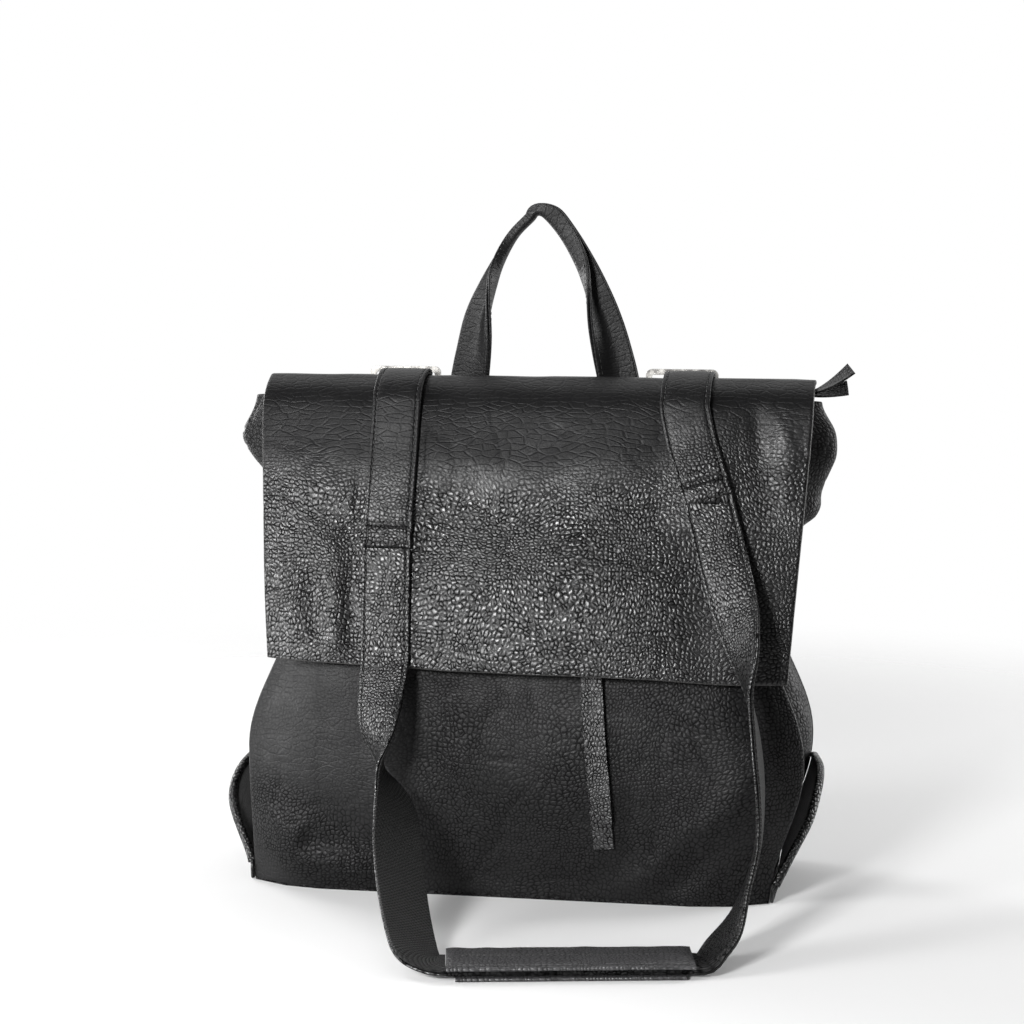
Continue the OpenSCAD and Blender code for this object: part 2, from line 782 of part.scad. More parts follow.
right_path = curve([
    on_face(joint_x(1), joint_z(1) - slit, 0, [1, 0, 0.3]),
    on_face(joint_x(1) + 8, joint_z(1) - 28, 1.8, [1, 0.07, 0.3]),
    on_face(joint_x(1) + 17, joint_z(1) - 56, 7.5, [1, -0.3, 0.3]),
    on_face(joint_x(1) + 24, joint_z(1) - 82, 15, [0.7, -0.8, 0.2]),
    on_face(joint_x(1) + 28, hem_right_z, 17, [0.2, -1, 0]),
    on_face(joint_x(1) + 33, 0.79 * hem_right_z, 18.1, [0, -1, 0]),
    from_pad(1, 0.43, 0.6, 0.54, [0, -1, 0.1]),
    from_pad(1, 0.43, 0.45, 0.35, [0.1, -1, 0.5]),
    from_pad(1, 0.34, 0.27, 0.2, [0.4, -0.7, 0.8]),
    from_pad(1, 0.22, 0.12, 0.07, [0.6, -0.8, 0.3]),
    each into_pad(1)
], 3);

module strap_lower_left() {
    strap_leather(frames(left_path, loop_axis, pad_cut));
}

module strap_lower_right() {
    strap_leather(frames(right_path, loop_axis, pad_cut));
}

module webbing_lower_left() {
    strap_webbing(frames(left_path, loop_axis, pad_cut));
}

module webbing_lower_right() {
    strap_webbing(frames(right_path, loop_axis, pad_cut));
}

module on_pad() {
    translate([pad_x, pad_y, pad_low]) rotate([0, 0, pad_turn]) children();
}

module pad_backing() {
    color(leather_color) on_pad() linear_extrude(pad_t) rounded(pad_l - 10, pad_w - 1, 2);
}

module pad_core() {
    color(webbing_color) on_pad() box(pad_l, strap_w, pad_t + lay, pad_t + lay + strap_t);
}

module shoulder_pad() {
    color(leather_color) on_pad() translate([0, 0, pad_t + 2 * lay + strap_t])
        linear_extrude(pad_t) rounded(pad_l, pad_w, 3);
}

// ---------- rings, tabs and straps on the back

ring_y = depth(crown_z) + 15;
ring_wall = 3.6;
ring_in_w = strap_w + 8;
ring_in_h = 21;
ring_t = 3;
ring_low = bag_h - 11;

module strap_rings() {
    color(metal_color) for (side = [-1, 1])
        translate([side * ring_x, ring_y, ring_low + ring_wall + ring_in_h / 2])
            rotate([90, 0, 0]) translate([0, 0, -ring_t / 2]) linear_extrude(ring_t)
                difference() {
                    rounded(ring_in_w + 2 * ring_wall, ring_in_h + 2 * ring_wall, 4);
                    rounded(ring_in_w, ring_in_h, 1.5);
                }
}

tab_t = 2;

// Leather tab: a loop round the ring's lower bar, sewn to the back panel
module ring_tabs() {
    wide = strap_w + 2;
    loop_z = ring_low + ring_wall / 2;
    foot = 0.83 * bag_h;
    stem = [
        for (k = [0 : 5]) let (z = mix(foot, loop_z - 7, k / 5))
            [0, mix(depth(z) + lay + 0.4, ring_y - 1, pow(k / 5, 3)), z]
    ];
    color(leather_color) for (side = [-1, 1]) translate([side * ring_x, 0, 0]) {
        sheet([for (p = stem) [for (w = [-1, 1]) [w * wide / 2, p[1] + tab_t, p[2]]]],
            [for (p = stem) [for (w = [-1, 1]) [w * wide / 2, p[1], p[2]]]]);
        translate([-wide / 2, ring_y, loop_z]) rotate([90, 0, 90]) linear_extrude(wide)
            difference() {
                union() {
                    rounded(ring_t + 2 * tab_t + 0.6, ring_wall + 2 * tab_t + 0.6, 2.6);
                    translate([-1, -8.2]) square([tab_t, 6]);
                }
                square([ring_t + 0.6, ring_wall + 0.6], center = true);
            }
    }
}

lower_z = 30;
strap_foot_z = lower_z + 12;

function back_x(side, z) = side * mix(lower_ring_x, ring_x, clip((z - strap_foot_z) / (ring_low - strap_foot_z)));
function back_station(side, z, stand) = [back_x(side, z), depth(z) + stand, z, -1, 0, 0];

// From the crease over the fold, through the ring and down the back
function back_path(side) = concat(
    [for (phi = [-crease - asin(crease_slit / crown_back), -34, -46]) let (p = fold_point(phi, out_mid))
        [mix(top_x(side), side * ring_x, (-phi - crease) / 60), p[0], p[1], -1, 0, 0]],
    [for (q = [
        [side * ring_x, ring_y - 6, ring_low + 15], [side * ring_x, ring_y, ring_low + 12.5],
        [side * ring_x, ring_y + 6, ring_low + 7], [side * ring_x, ring_y + 10, ring_low - 4]
    ]) [each q, -1, 0, 0]],
    [for (q = [[0.87, 21], [0.79, 14.5], [0.67, 10], [0.5, 7], [0.33, 5], [0.2, 4.6]])
        back_station(side, q[0] * bag_h, q[1])],
    [back_station(side, strap_foot_z, 4.6)]
);

function back_track(side) = frames(back_path(side), start_cut = [-1, 0, 0]);

module strap_back_left() {
    strap_leather(back_track(-1));
}

module strap_back_right() {
    strap_leather(back_track(1));
}

module webbing_back_left() {
    strap_webbing(back_track(-1));
}

module webbing_back_right() {
    strap_webbing(back_track(1));
}

// Station of the back strap that carries its buckle
buckle_station = 10;

buckle_l = 24;
buckle_rail_w = 3;
buckle_bar_w = 4;
buckle_bar_t = 1.8;

// Ladder buckle: two outer bars behind the strap, one bar in front of it
module slide_buckle() {
    low = strap_t / 2 + 0.4;
    high = low + buckle_bar_t;
    inside_w = strap_w + 2 * clear;
    color(metal_color) {
        for (x = [-1, 1]) translate([x * (inside_w + buckle_rail_w) / 2, 0, 0])
            box(buckle_rail_w, buckle_l, -high, high);
        for (y = [-1, 1]) translate([0, y * (buckle_l - buckle_bar_w) / 2, 0])
            box(inside_w + lay, buckle_bar_w, low, high);
        box(inside_w + lay, buckle_bar_w, -high, -low);
    }
}

module slide_buckles() {
    for (side = [-1, 1]) {
        track = back_track(side);
        seat(track[buckle_station]) slide_buckle();
    }
}

// Flat ring below the strap's foot, in the strap's own plane
lower_in_h = 12;

function foot_frame(side) = let (track = back_track(side)) track[len(track) - 1];

module lower_rings() {
    for (side = [-1, 1]) seat(foot_frame(side))
        color(metal_color) translate([0, -slit - 3 - lower_in_h / 2, -1.25]) linear_extrude(2.5)
            difference() {
                rounded(strap_w + 8, lower_in_h + 6, 4);
                rounded(strap_w + 2, lower_in_h, 1.5);
            }
}

module lower_tabs() {
    wide = strap_w - 2;
    for (side = [-1, 1]) seat(foot_frame(side)) color(leather_color)
        translate([-wide / 2, -slit - 6 - lower_in_h + 1.5, 0]) rotate([90, 0, 90]) linear_extrude(wide)
            difference() {
                union() {
                    rounded(3 + 2 * tab_t + 0.6, 2.5 + 2 * tab_t + 0.6, 2.4);
                    translate([-14, -3.2]) square([13, 2.6]);
                }
                square([3.6, 3.1], center = true);
            }
}

// ---------- handle

handle_y = depth(handle_root_z) + 5;
// Height of the crease above the roots, where the grip's folded edges stand over it
crease_h = handle_h - handle_w / 2;
// Half width of the strip that turns round the crease where the handle is folded in two
crease_w = 4.6;

// Stations of the left leg from its root: shares of the half spread and of the height, and
// the share of the fold, then mirrored for the right leg
leg_stations = [
    [1, 0.002, 0], [0.99, 0.2, 0], [0.94, 0.39, 0], [0.87, 0.51, 0], [0.78, 0.62, 0.02],
    [0.7, 0.68, 0.25], [0.58, 0.75, 0.8], [0.43, 0.83, 1], [0.27, 0.91, 1], [0.12, 0.97, 1]
];

function leg_station(side, q) =
    [side * handle_x * q[0], handle_y, handle_root_z + crease_h * q[1], -side, 0, q[2]];

handle_path = curve(concat(
    [for (q = leg_stations) leg_station(-1, q)],
    [[0, handle_y, handle_root_z + crease_h, 0, -1, 1]],
    [for (k = [len(leg_stations) - 1 : -1 : 0]) leg_station(1, leg_stations[k])]
), 2);
handle_track = frames([for (p = handle_path) [p[0], p[1], p[2], p[3], 0, p[4]]]);

// Point across the handle at the distance w from its middle, where the half on the inside of
// the arch is folded over by the share f, and at a height over the strip's middle surface
function fold_over(w, f, high) = let (
    turn = max(0.5, 180 * clip(f)),
    radius = crease_w * 360 / turn / PI,
    part = clip((w + crease_w) / (2 * crease_w)) * turn,
    past = w < -crease_w ? w + crease_w : max(0, w - crease_w)
) [
    -crease_w + (radius + high) * sin(part) + past * (w < 0 ? 1 : cos(turn)),
    (radius + high) * cos(part) - radius - (w < 0 ? 0 : past * sin(turn))
];

module handle_layer(wide, low, high) {
    rims = [-wide / 2, -crease_w, -crease_w / 3, crease_w / 3, crease_w, wide / 2];
    function row(i, out) = let (f = handle_track[i], share = handle_path[i][5])
        [for (w = rims) let (p = fold_over(w, share, out)) f[0] + f[1] * p[0] + f[2] * p[1]];
    last = len(handle_path) - 1;
    sheet([for (i = [0 : last]) row(i, high)], [for (i = [0 : last]) row(i, low)]);
}

module handle_outer() {
    color(leather_color) handle_layer(handle_w, 0.08, handle_t);
}

module handle_inner() {
    color(inside_color) handle_layer(handle_w - 1, -handle_t, -0.08);
}

module handle_anchors() {
    low = handle_root_z - 40;
    levels = [for (k = [0 : 4]) mix(low, handle_root_z, k / 4)];
    wide = handle_w + 8;
    color(leather_color) for (side = [-1, 1]) translate([side * handle_x, 0, 0])
        sheet([for (k = [0 : 4]) [for (w = [-1, 1]) [
            w * wide / 2, depth(levels[k]) + lay + 0.4 + leather_t + 1.6 * pow(k / 4, 2), levels[k]
        ]]],
            [for (k = [0 : 4]) [for (w = [-1, 1]) [
                w * wide / 2, depth(levels[k]) + lay + 0.4, levels[k]
            ]]]);
}

front_panel();
back_panel();
base_panel();
gusset_left();
gusset_right();
side_pocket_left();
side_pocket_right();
base_board();
lining();
inner_slip_pocket();
front_pocket_bag();
top_zip_tape_front();
top_zip_tape_back();
top_zip_teeth_front();
top_zip_teeth_back();
top_zip_stops();
front_zip_tapes();
front_zip_teeth();
front_zip_stops();
body_snap();
flap_back_strip();
handle_anchors();
strap_rings();
ring_tabs();
lower_rings();
lower_tabs();
slide_buckles();
strap_back_left();
strap_back_right();
webbing_back_left();
webbing_back_right();
flap_leather();
flap_backing();
flap_snap();
strap_upper_left();
strap_upper_right();
webbing_upper_left();
webbing_upper_right();
strap_lower_left();
strap_lower_right();
webbing_lower_left();
webbing_lower_right();
shoulder_pad();
pad_backing();
pad_core();
handle_outer();
handle_inner();
top_zip_slider();
top_pull_ring();
top_pull_leather();
front_zip_slider();
front_pull_ring();
front_pull_outer();
front_pull_inner();
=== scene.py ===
"""Looks of a black leather backpack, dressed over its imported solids.

Forms are worked out in millimetres in the part's own frame, by the same rules as the part, and
become metres where a mesh is made.
"""

import math

import bpy
import numpy as np
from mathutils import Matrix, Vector


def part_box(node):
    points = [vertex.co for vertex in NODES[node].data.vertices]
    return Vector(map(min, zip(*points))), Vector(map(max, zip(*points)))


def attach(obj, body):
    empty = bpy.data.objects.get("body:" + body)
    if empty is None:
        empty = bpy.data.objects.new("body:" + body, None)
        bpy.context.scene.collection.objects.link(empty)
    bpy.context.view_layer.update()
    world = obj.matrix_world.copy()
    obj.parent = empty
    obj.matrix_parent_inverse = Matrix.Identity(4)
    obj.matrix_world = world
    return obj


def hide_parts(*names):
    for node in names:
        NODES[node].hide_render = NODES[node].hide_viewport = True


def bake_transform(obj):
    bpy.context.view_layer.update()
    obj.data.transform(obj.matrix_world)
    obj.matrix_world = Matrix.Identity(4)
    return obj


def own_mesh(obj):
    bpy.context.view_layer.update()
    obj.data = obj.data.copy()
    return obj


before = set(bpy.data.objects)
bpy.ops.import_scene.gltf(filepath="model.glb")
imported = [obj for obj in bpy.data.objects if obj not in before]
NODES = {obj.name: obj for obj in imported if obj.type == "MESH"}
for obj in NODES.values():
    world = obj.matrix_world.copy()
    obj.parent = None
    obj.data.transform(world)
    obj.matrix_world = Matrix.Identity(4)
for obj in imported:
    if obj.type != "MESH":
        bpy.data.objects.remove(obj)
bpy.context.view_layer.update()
MM = 0.001
# Millimetres to one unit of a piece's map
MAP_UNIT = 100
SIDE_NAME = {-1: "left", 1: "right"}

# The part's own sizes, in millimetres
BASE_W, BASE_D, BAG_H = 320, 120, 300
BASE_SHIFT = 9
BELLY_W, BELLY_D, BELLY_Z = 342, 132, 70
WAIST_W, TOP_W, TOP_D, EAR_W, FOLD_W = 292, 336, 26, 374, 258
LEATHER = 2.2
EDGE_TUCK, FLAT_SHARE = 0.25, 0.72
WAIST_Z, EAR_Z = 0.52 * BAG_H, 0.915 * BAG_H
POCKET_H, POCKET_FOOT, POCKET_LAP = 72, 8, 0.9
POCKET_BULGE = {-1: 20, 1: 9}
FLAP_W, HEM_LEFT, HEM_RIGHT, HEM_LEFT_Z, HEM_RIGHT_Z = 344, 155, 162, 144, 137
FLAP_GAP, FLAP_RISE, FLAP_DRAPE, BACKING = 8, 14, 6, 0.8
LAY, CLEAR, SLIT = 0.15, 0.6, 0.3
STRAP_W, STRAP_LEATHER, WEBBING = 30, 1.8, 1.4
STRAP_T = STRAP_LEATHER + WEBBING + LAY
RING_X, LOWER_RING_X, STRAP_FOOT_Z = 88, 124, 42
PAD_L, PAD_W, PAD_T, PAD_REACH, PAD_X, PAD_TURN = 136, 38, 2.2, 139, 53, math.radians(11.5)
HANDLE_H, HANDLE_X, HANDLE_W, HANDLE_T, HANDLE_ROOT_Z = 183, 52, 26, 1.9, 242
CREASE_W = 4.6
ZIP_L, ZIP_Z, ZIP_SHIFT, ZIP_SLOT = 168, 168, 22, 6
SLIDER_X, PULL_L, PULL_W, PULL_START, PULL_LEAN = 42, 122, 13, 11.8, math.radians(5)
TOP_PULL_L = 30
CREASE, TURN_LIFT = 20, 0.35

# Sizes of what only shows: the seam across the right gusset, the patches at the handle's roots,
# half the width and height of the roll that hems a side pocket, and how far the stitches of the
# straps and of the shoulder pad lie from the edge
SIDE_SEAM_Z, ANCHOR_H = 228, 40
HEM_WIDE, HEM_HIGH = 2.7, 2.2
STITCH_INSET, PAD_INSET = 2.6, 3.4
# Along the flap from the seam on its back: where the backing, the drape and the bold grain start
BACKING_START, DRAPE_START, BOLD_START = 31, 58, 104
# The bodies on both sides of the flap's bend, and where one hands over to the other, in metres
FLAP_BEND = ("bag", "flap", (0, 0.0103, 0.31), (0, 0.0023, 0.31))


# ---------- numbers and curves


def mix(a, b, t):
    return a + (b - a) * t


def ease(t):
    return (1 - np.cos(np.pi * np.clip(t, 0, 1))) / 2


def unit(v):
    return v / np.maximum(np.linalg.norm(v, axis=-1, keepdims=True), 1e-9)


def bell(t, middle, width):
    """1 at the middle, falling off over width."""
    return np.exp(-(((t - middle) / width) ** 2))


def join(*columns):
    """Points, or rows of other numbers, from their columns brought to one shape."""
    return np.stack(np.broadcast_arrays(*columns), axis=-1)


def level(z, table):
    """Eased reading of a table of (height, value) pairs."""
    heights, values = np.array(table, float).T
    z = np.asarray(z, float)
    i = np.clip(np.searchsorted(heights, z, side="right") - 1, 0, len(heights) - 2)
    t = (z - heights[i]) / (heights[i + 1] - heights[i])
    return mix(values[i], values[i + 1], ease(t))


def curve(stations, steps):
    """Smooth curve through the stations, which are rows of numbers of any kind."""
    p = np.array(stations, float)
    last = len(p) - 1
    t = (np.arange(steps) / steps)[:, None]
    out = []
    for i in range(last):
        a, b, c, d = p[max(i - 1, 0)], p[i], p[i + 1], p[min(i + 2, last)]
        out.append(
            0.5 * (2 * b + (c - a) * t + (2 * a - 5 * b + 4 * c - d) * t**2)
            + 0.5 * (3 * b - a - 3 * c + d) * t**3
        )
    return np.vstack(out + [p[-1:]])


def lattice(ix, iy, seed):
    """A number from -1 to 1 for each whole place, the same each run."""
    n = np.sin(ix * 127.1 + iy * 311.7 + seed * 74.7) * 43758.5453
    return (n - np.floor(n)) * 2 - 1


def noise(x, y, size, seed=0):
    """Smooth noise from -1 to 1 with features about size apart."""
    x, y = np.asarray(x, float) / size, np.asarray(y, float) / size
    ix, iy = np.floor(x), np.floor(y)
    fx, fy = x - ix, y - iy
    sx, sy = fx * fx * (3 - 2 * fx), fy * fy * (3 - 2 * fy)
    low = mix(lattice(ix, iy, seed), lattice(ix + 1, iy, seed), sx)
    high = mix(lattice(ix, iy + 1, seed), lattice(ix + 1, iy + 1, seed), sx)
    return mix(low, high, sy)


def creases(x, y, size, seed=0):
    """Narrow valleys, 0 on the open surface and -1 in a crease."""
    turned_x = x + size * 0.6 * noise(x, y, size * 1.7, seed + 5)
    turned_y = y + size * 0.6 * noise(x, y, size * 1.7, seed + 6)
    return -np.clip(1 - np.abs(noise(turned_x, turned_y, size, seed)) * 5, 0, 1) ** 2


def fold_line(x, y, start, end, width):
    """1 along the line from start to end, falling off over width and towards both ends."""
    (ax, ay), (bx, by) = start, end
    dx, dy = bx - ax, by - ay
    long = math.hypot(dx, dy)
    t = ((x - ax) * dx + (y - ay) * dy) / long**2
    off = ((x - ax) * dy - (y - ay) * dx) / long
    past = np.maximum(0, np.abs(t - 0.5) - 0.35) / 0.22
    return np.exp(-((off / width) ** 2) - past**2)


# ---------- form of the body, flap and straps


def depth(z):
    """Half the bag's depth at a height."""
    z = np.asarray(z, float)
    low = mix(BASE_D / 2, BELLY_D / 2, np.sin(np.pi / 2 * np.clip(z, 0, BELLY_Z) / BELLY_Z))
    rise = np.clip(z - BELLY_Z, 0, None) / (BAG_H - BELLY_Z)
    return np.where(z < BELLY_Z, low, mix(BELLY_D / 2, TOP_D / 2, rise**1.5))


# (height, half width) of the front and back panels
EDGE_SHAPE = [
    (0, BASE_W / 2),
    (0.29 * BAG_H, BELLY_W / 2),
    (WAIST_Z + 20, WAIST_W / 2),
    (BAG_H, TOP_W / 2),
]


def edge(z):
    """Half the width of the front and back panels at a height."""
    return level(z, EDGE_SHAPE)


def sway(z):
    """How far the bag leans aside at a height."""
    return -BASE_SHIFT * (1 - ease(z / (1.2 * BELLY_Z)))


def fold_shape(*low_ear):
    """(height, half width) of a gusset's middle: in at the waist, out at the ear."""
    return [
        (0, BASE_W / 2 - 1),
        (0.26 * BAG_H, BELLY_W / 2 - 26),
        (WAIST_Z, FOLD_W / 2),
        *low_ear,
        (EAR_Z, EAR_W / 2),
        (BAG_H + 1, EAR_W / 2 - 10),
    ]


FOLD_SHAPE = {
    -1: fold_shape((0.76 * BAG_H, WAIST_W / 2 + 8)),
    1: fold_shape((0.7 * BAG_H, WAIST_W / 2 + 13), (0.8 * BAG_H, WAIST_W / 2 + 30)),
}


def drop(u):
    """0 on the flat middle of a panel, rising to 1 at its edges."""
    return (np.maximum(0, np.abs(u) - FLAT_SHARE) / (1 - FLAT_SHARE)) ** 2


def panel_depth(u, z):
    """Half depth of the bag at a share u of a panel's half width."""
    tuck = EDGE_TUCK * ease((BAG_H - z) / (0.35 * BAG_H))
    return depth(z) * (1 - tuck * drop(u))


def seam_depth(z):
    """Half depth at which the panels meet the gussets."""
    return panel_depth(1, z)


def gusset_x(v, z, side):
    """How far out a gusset stands, at v from -1 at the front seam to 1 at the back one."""
    return mix(edge(z), level(z, FOLD_SHAPE[side]), (1 + np.cos(np.pi * v)) / 2)


CROWN_Z = BAG_H - 8
CROWN_H = BAG_H + FLAP_RISE - CROWN_Z
CROWN_FRONT = float(depth(CROWN_Z)) + FLAP_GAP + LEATHER
CROWN_BACK = float(depth(CROWN_Z)) + LEATHER + LAY + 0.3
OUT_MID = CLEAR + STRAP_T / 2


def fold_point(phi, out):
    """(y, z) on the flap's fold, phi degrees in front of its top."""
    turn = np.radians(phi)
    reach = np.where(np.asarray(phi) > 0, CROWN_FRONT, CROWN_BACK) + out
    return -np.sin(turn) * reach, CROWN_Z + np.cos(turn) * (CROWN_H + out)


def face_y(z, out):
    """Y of a place that stands out from the flap's front."""
    return -(depth(z) + FLAP_GAP + LEATHER + out)


# ---------- pieces: closed forms gathered into one mesh


def put(name, data):
    """A new object of the scene, which holds the data."""
    thing = bpy.data.objects.new(name, data)
    bpy.context.scene.collection.objects.link(thing)
    return thing


class Piece:
    """One visible piece, gathered from closed forms in millimetres."""

    def __init__(self, name, *materials):
        self.name, self.materials = name, materials
        self.points, self.maps, self.grains, self.faces, self.slots = [], [], [], [], []
        self.count = 0

    def add(self, points, maps, faces, slots, grain=1.0):
        points = np.asarray(points, float).reshape(-1, 3)
        faces = np.asarray(faces, int).reshape(-1, 4)
        self.points.append(points)
        self.maps.append(np.asarray(maps, float).reshape(-1, 2))
        self.grains.append(np.broadcast_to(np.asarray(grain, float).ravel(), len(points)))
        self.faces.append(faces + self.count)
        self.slots.append(np.broadcast_to(slots, len(faces)))
        self.count += len(points)

    def make(self):
        faces = np.vstack(self.faces)
        mesh = bpy.data.meshes.new(self.name)
        mesh.from_pydata((np.vstack(self.points) * MM).tolist(), [], faces.tolist())
        for material in self.materials:
            mesh.materials.append(material)
        mesh.polygons.foreach_set("material_index", np.concatenate(self.slots).astype(np.int32))
        mesh.polygons.foreach_set("use_smooth", np.ones(len(faces), bool))
        corners = np.zeros(len(mesh.loops), np.int32)
        mesh.loops.foreach_get("vertex_index", corners)
        maps = np.vstack(self.maps)[corners] / MAP_UNIT
        mesh.uv_layers.new(name="UVMap").data.foreach_set("uv", maps.astype(np.float32).ravel())
        grain = mesh.attributes.new("grain", "FLOAT", "POINT")
        grain.data.foreach_set("value", np.concatenate(self.grains).astype(np.float32))
        mesh.set_sharp_from_angle(angle=math.radians(62))
        mesh.update()
        return put(self.name, mesh)


def surface_normal(p):
    """Outward directions of a grid of points."""
    return unit(np.cross(np.gradient(p, axis=0), np.gradient(p, axis=1)))


def lengths(p, axis=0):
    """How far along the axis each point of a line or a grid stands."""
    steps = np.linalg.norm(np.diff(p, axis=axis), axis=-1)
    start = np.zeros_like(np.take(steps, [0], axis=axis))
    return np.cumsum(np.concatenate([start, steps], axis=axis), axis=axis)


def flat_map(p):
    """Flat place of each grid point, in millimetres along the sheet."""
    across = lengths(p, 1)
    middle = p.shape[1] // 2
    along = np.broadcast_to(lengths(p, 0).mean(axis=1, keepdims=True), across.shape)
    return join(across - across[:, middle : middle + 1], along)


def loop_round(top, bottom, left, right):
    """Grid places round a rectangle of the grid, in the order of its faces' outer edges."""
    down = [(i, left) for i in range(top, bottom)]
    along = [(bottom, j) for j in range(left, right)]
    up = [(i, right) for i in range(bottom, top, -1)]
    back = [(top, j) for j in range(right, left, -1)]
    return down + along + up + back


# The grain of a sheet's rim, as a share of the grain beside it
RIM_GRAIN = 0.6


def sheet(piece, outer, thick, slots=(0, 1, 2), rim=0.35, grain=1.0, hole=None, inner=None):
    """Closed sheet with a rounded rim, thick deep behind a grid of outer points whose rows times
    columns face outward, or between outer and inner. slots are those of the outer side, the
    inner side and the rim. hole is (top, bottom, left, right) in grid places."""
    rows, cols = outer.shape[:2]
    away = surface_normal(outer)
    under = outer - away * thick if inner is None else inner
    number = np.arange(rows * cols).reshape(rows, cols)
    a, b = number[:-1, :-1], number[1:, :-1]
    c, d = number[1:, 1:], number[:-1, 1:]
    keep = np.ones(a.shape, bool)
    loops = [loop_round(0, rows - 1, 0, cols - 1)]
    if hole:
        top, bottom, left, right = hole
        keep[top:bottom, left:right] = False
        loops.append(loop_round(top, bottom, left, right)[::-1])
    quads = join(a, b, c, d)[keep]
    n = rows * cols
    maps = flat_map(outer).reshape(-1, 2)
    grain = np.broadcast_to(grain, (rows, cols)).ravel()
    points, all_maps = [outer.reshape(-1, 3), under.reshape(-1, 3)], [maps, maps]
    faces, grains = [quads, quads[:, ::-1] + n], [grain, grain]
    kinds = [slots[0]] * len(quads) + [slots[1]] * len(quads)
    start = 2 * n
    for loop in loops:
        at = np.array([i * cols + j for i, j in loop])
        face, back = points[0][at], points[1][at]
        outward = unit(np.cross(np.roll(face, -1, 0) - np.roll(face, 1, 0), away.reshape(-1, 3)[at]))
        width = np.linalg.norm(face - back, axis=1, keepdims=True)
        rings = [at]
        for turn in (45, 90, 135):
            share = (1 - math.cos(math.radians(turn))) / 2
            push = math.sin(math.radians(turn)) * rim
            points.append(mix(face, back, share) + outward * width * push)
            all_maps.append(maps[at] + [width.mean() * share, 0])
            grains.append(grain[at] * RIM_GRAIN)
            rings.append(np.arange(start, start + len(at)))
            start += len(at)
        rings.append(at + n)
        for low, high in zip(rings, rings[1:]):
            faces.append(join(np.roll(low, -1), low, high, np.roll(high, -1)))
            kinds += [slots[2]] * len(at)
    used = np.unique(np.vstack(faces))
    renumber = np.full(start, -1)
    renumber[used] = np.arange(len(used))
    piece.add(
        np.vstack(points)[used],
        np.vstack(all_maps)[used],
        renumber[np.vstack(faces)],
        np.array(kinds),
        np.concatenate(grains)[used],
    )


def frames(stations, start_cut=None, end_cut=None):
    """Places, width directions and face directions along rows of (place, hint), where the hint
    points roughly along the width. start_cut and end_cut set the width direction of an end."""
    place, hint = stations[:, :3], stations[:, 3:6]
    along = np.empty_like(place)
    along[1:-1] = place[2:] - place[:-2]
    along[0], along[-1] = place[1] - place[0], place[-1] - place[-2]
    along = unit(along)
    wide = unit(hint - along * np.sum(hint * along, axis=1, keepdims=True))
    if start_cut is not None:
        wide[0] = start_cut
    if end_cut is not None:
        wide[-1] = end_cut
    return place, wide, unit(np.cross(along, wide))


def sweep(piece, track, section, slot=0, grain=1.0):
    """Closed strip along a track. section holds (across, out) of each point round the strip, the
    outer side first from right to left and then the inner side back. Both it and the grain may
    change along the track."""
    place, wide, face = track
    count, n = len(place), section.shape[-2]
    section = np.broadcast_to(section, (count, n, 2))
    points = place[:, None] + wide[:, None] * section[..., :1] + face[:, None] * section[..., 1:]
    number = np.arange(count * n).reshape(count, n)
    after = np.roll(number, -1, axis=1)
    sides = join(number[:-1], after[:-1], after[1:], number[1:])
    half = np.arange(n // 2 - 1)
    cap = join(half, half + 1, n - 2 - half, n - 1 - half)
    faces = np.vstack([sides.reshape(-1, 4), cap[:, ::-1], cap + (count - 1) * n])
    grain = np.broadcast_to(np.reshape(grain, (-1, 1)), (count, n))
    piece.add(points, join(section[..., 0], lengths(place)[:, None]), faces, slot, grain)


def read_off(rows, run, at):
    """Rows of numbers at places along a line, whose own places are in run."""
    return join(*(np.interp(at, run, column) for column in rows.T))


def stitches(piece, line, up, slot, pitch=3.8, long=2.7, wide=0.55, high=0.34, margin=2.0):
    """A row of thread stitches along a line of points, standing on the surface that up leaves."""
    run = lengths(line)
    sewn = run[-1] - 2 * margin
    count = max(1, int(sewn / pitch))
    at = margin + (np.arange(count) + 0.5) * sewn / count
    middle = read_off(line, run, at)
    along = unit(read_off(line, run, at + 0.5) - middle)
    away = unit(read_off(up, run, at))
    side = unit(np.cross(away, along))
    corners = [
        middle + along * a * long / 2 * share + side * b * wide / 2 * share + away * height
        for height, share in ((-high, 1.0), (high, 0.55))
        for a, b in ((-1, -1), (1, -1), (1, 1), (-1, 1))
    ]
    points = np.stack(corners, axis=1)
    box = np.array(
        [(3, 2, 1, 0), (4, 5, 6, 7), (0, 1, 5, 4), (1, 2, 6, 5), (2, 3, 7, 6), (3, 0, 4, 7)]
    )
    faces = (np.arange(len(at)) * 8)[:, None, None] + box
    maps = np.tile(np.array([(0, 0), (1, 0), (1, 1), (0, 1)] * 2, float), (len(at), 1))
    piece.add(points, maps, faces, slot)


def show(piece, body=None, replaces=(), blend=None):
    """Makes the piece and ties it to its body, or bakes it in place where a blend is given, and hides
    the solids that it replaces.
    """
    thing = piece.make()
    if blend:
        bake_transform(thing)
    else:
        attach(thing, body)
    if replaces:
        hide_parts(*replaces)
    return thing


# ---------- materials


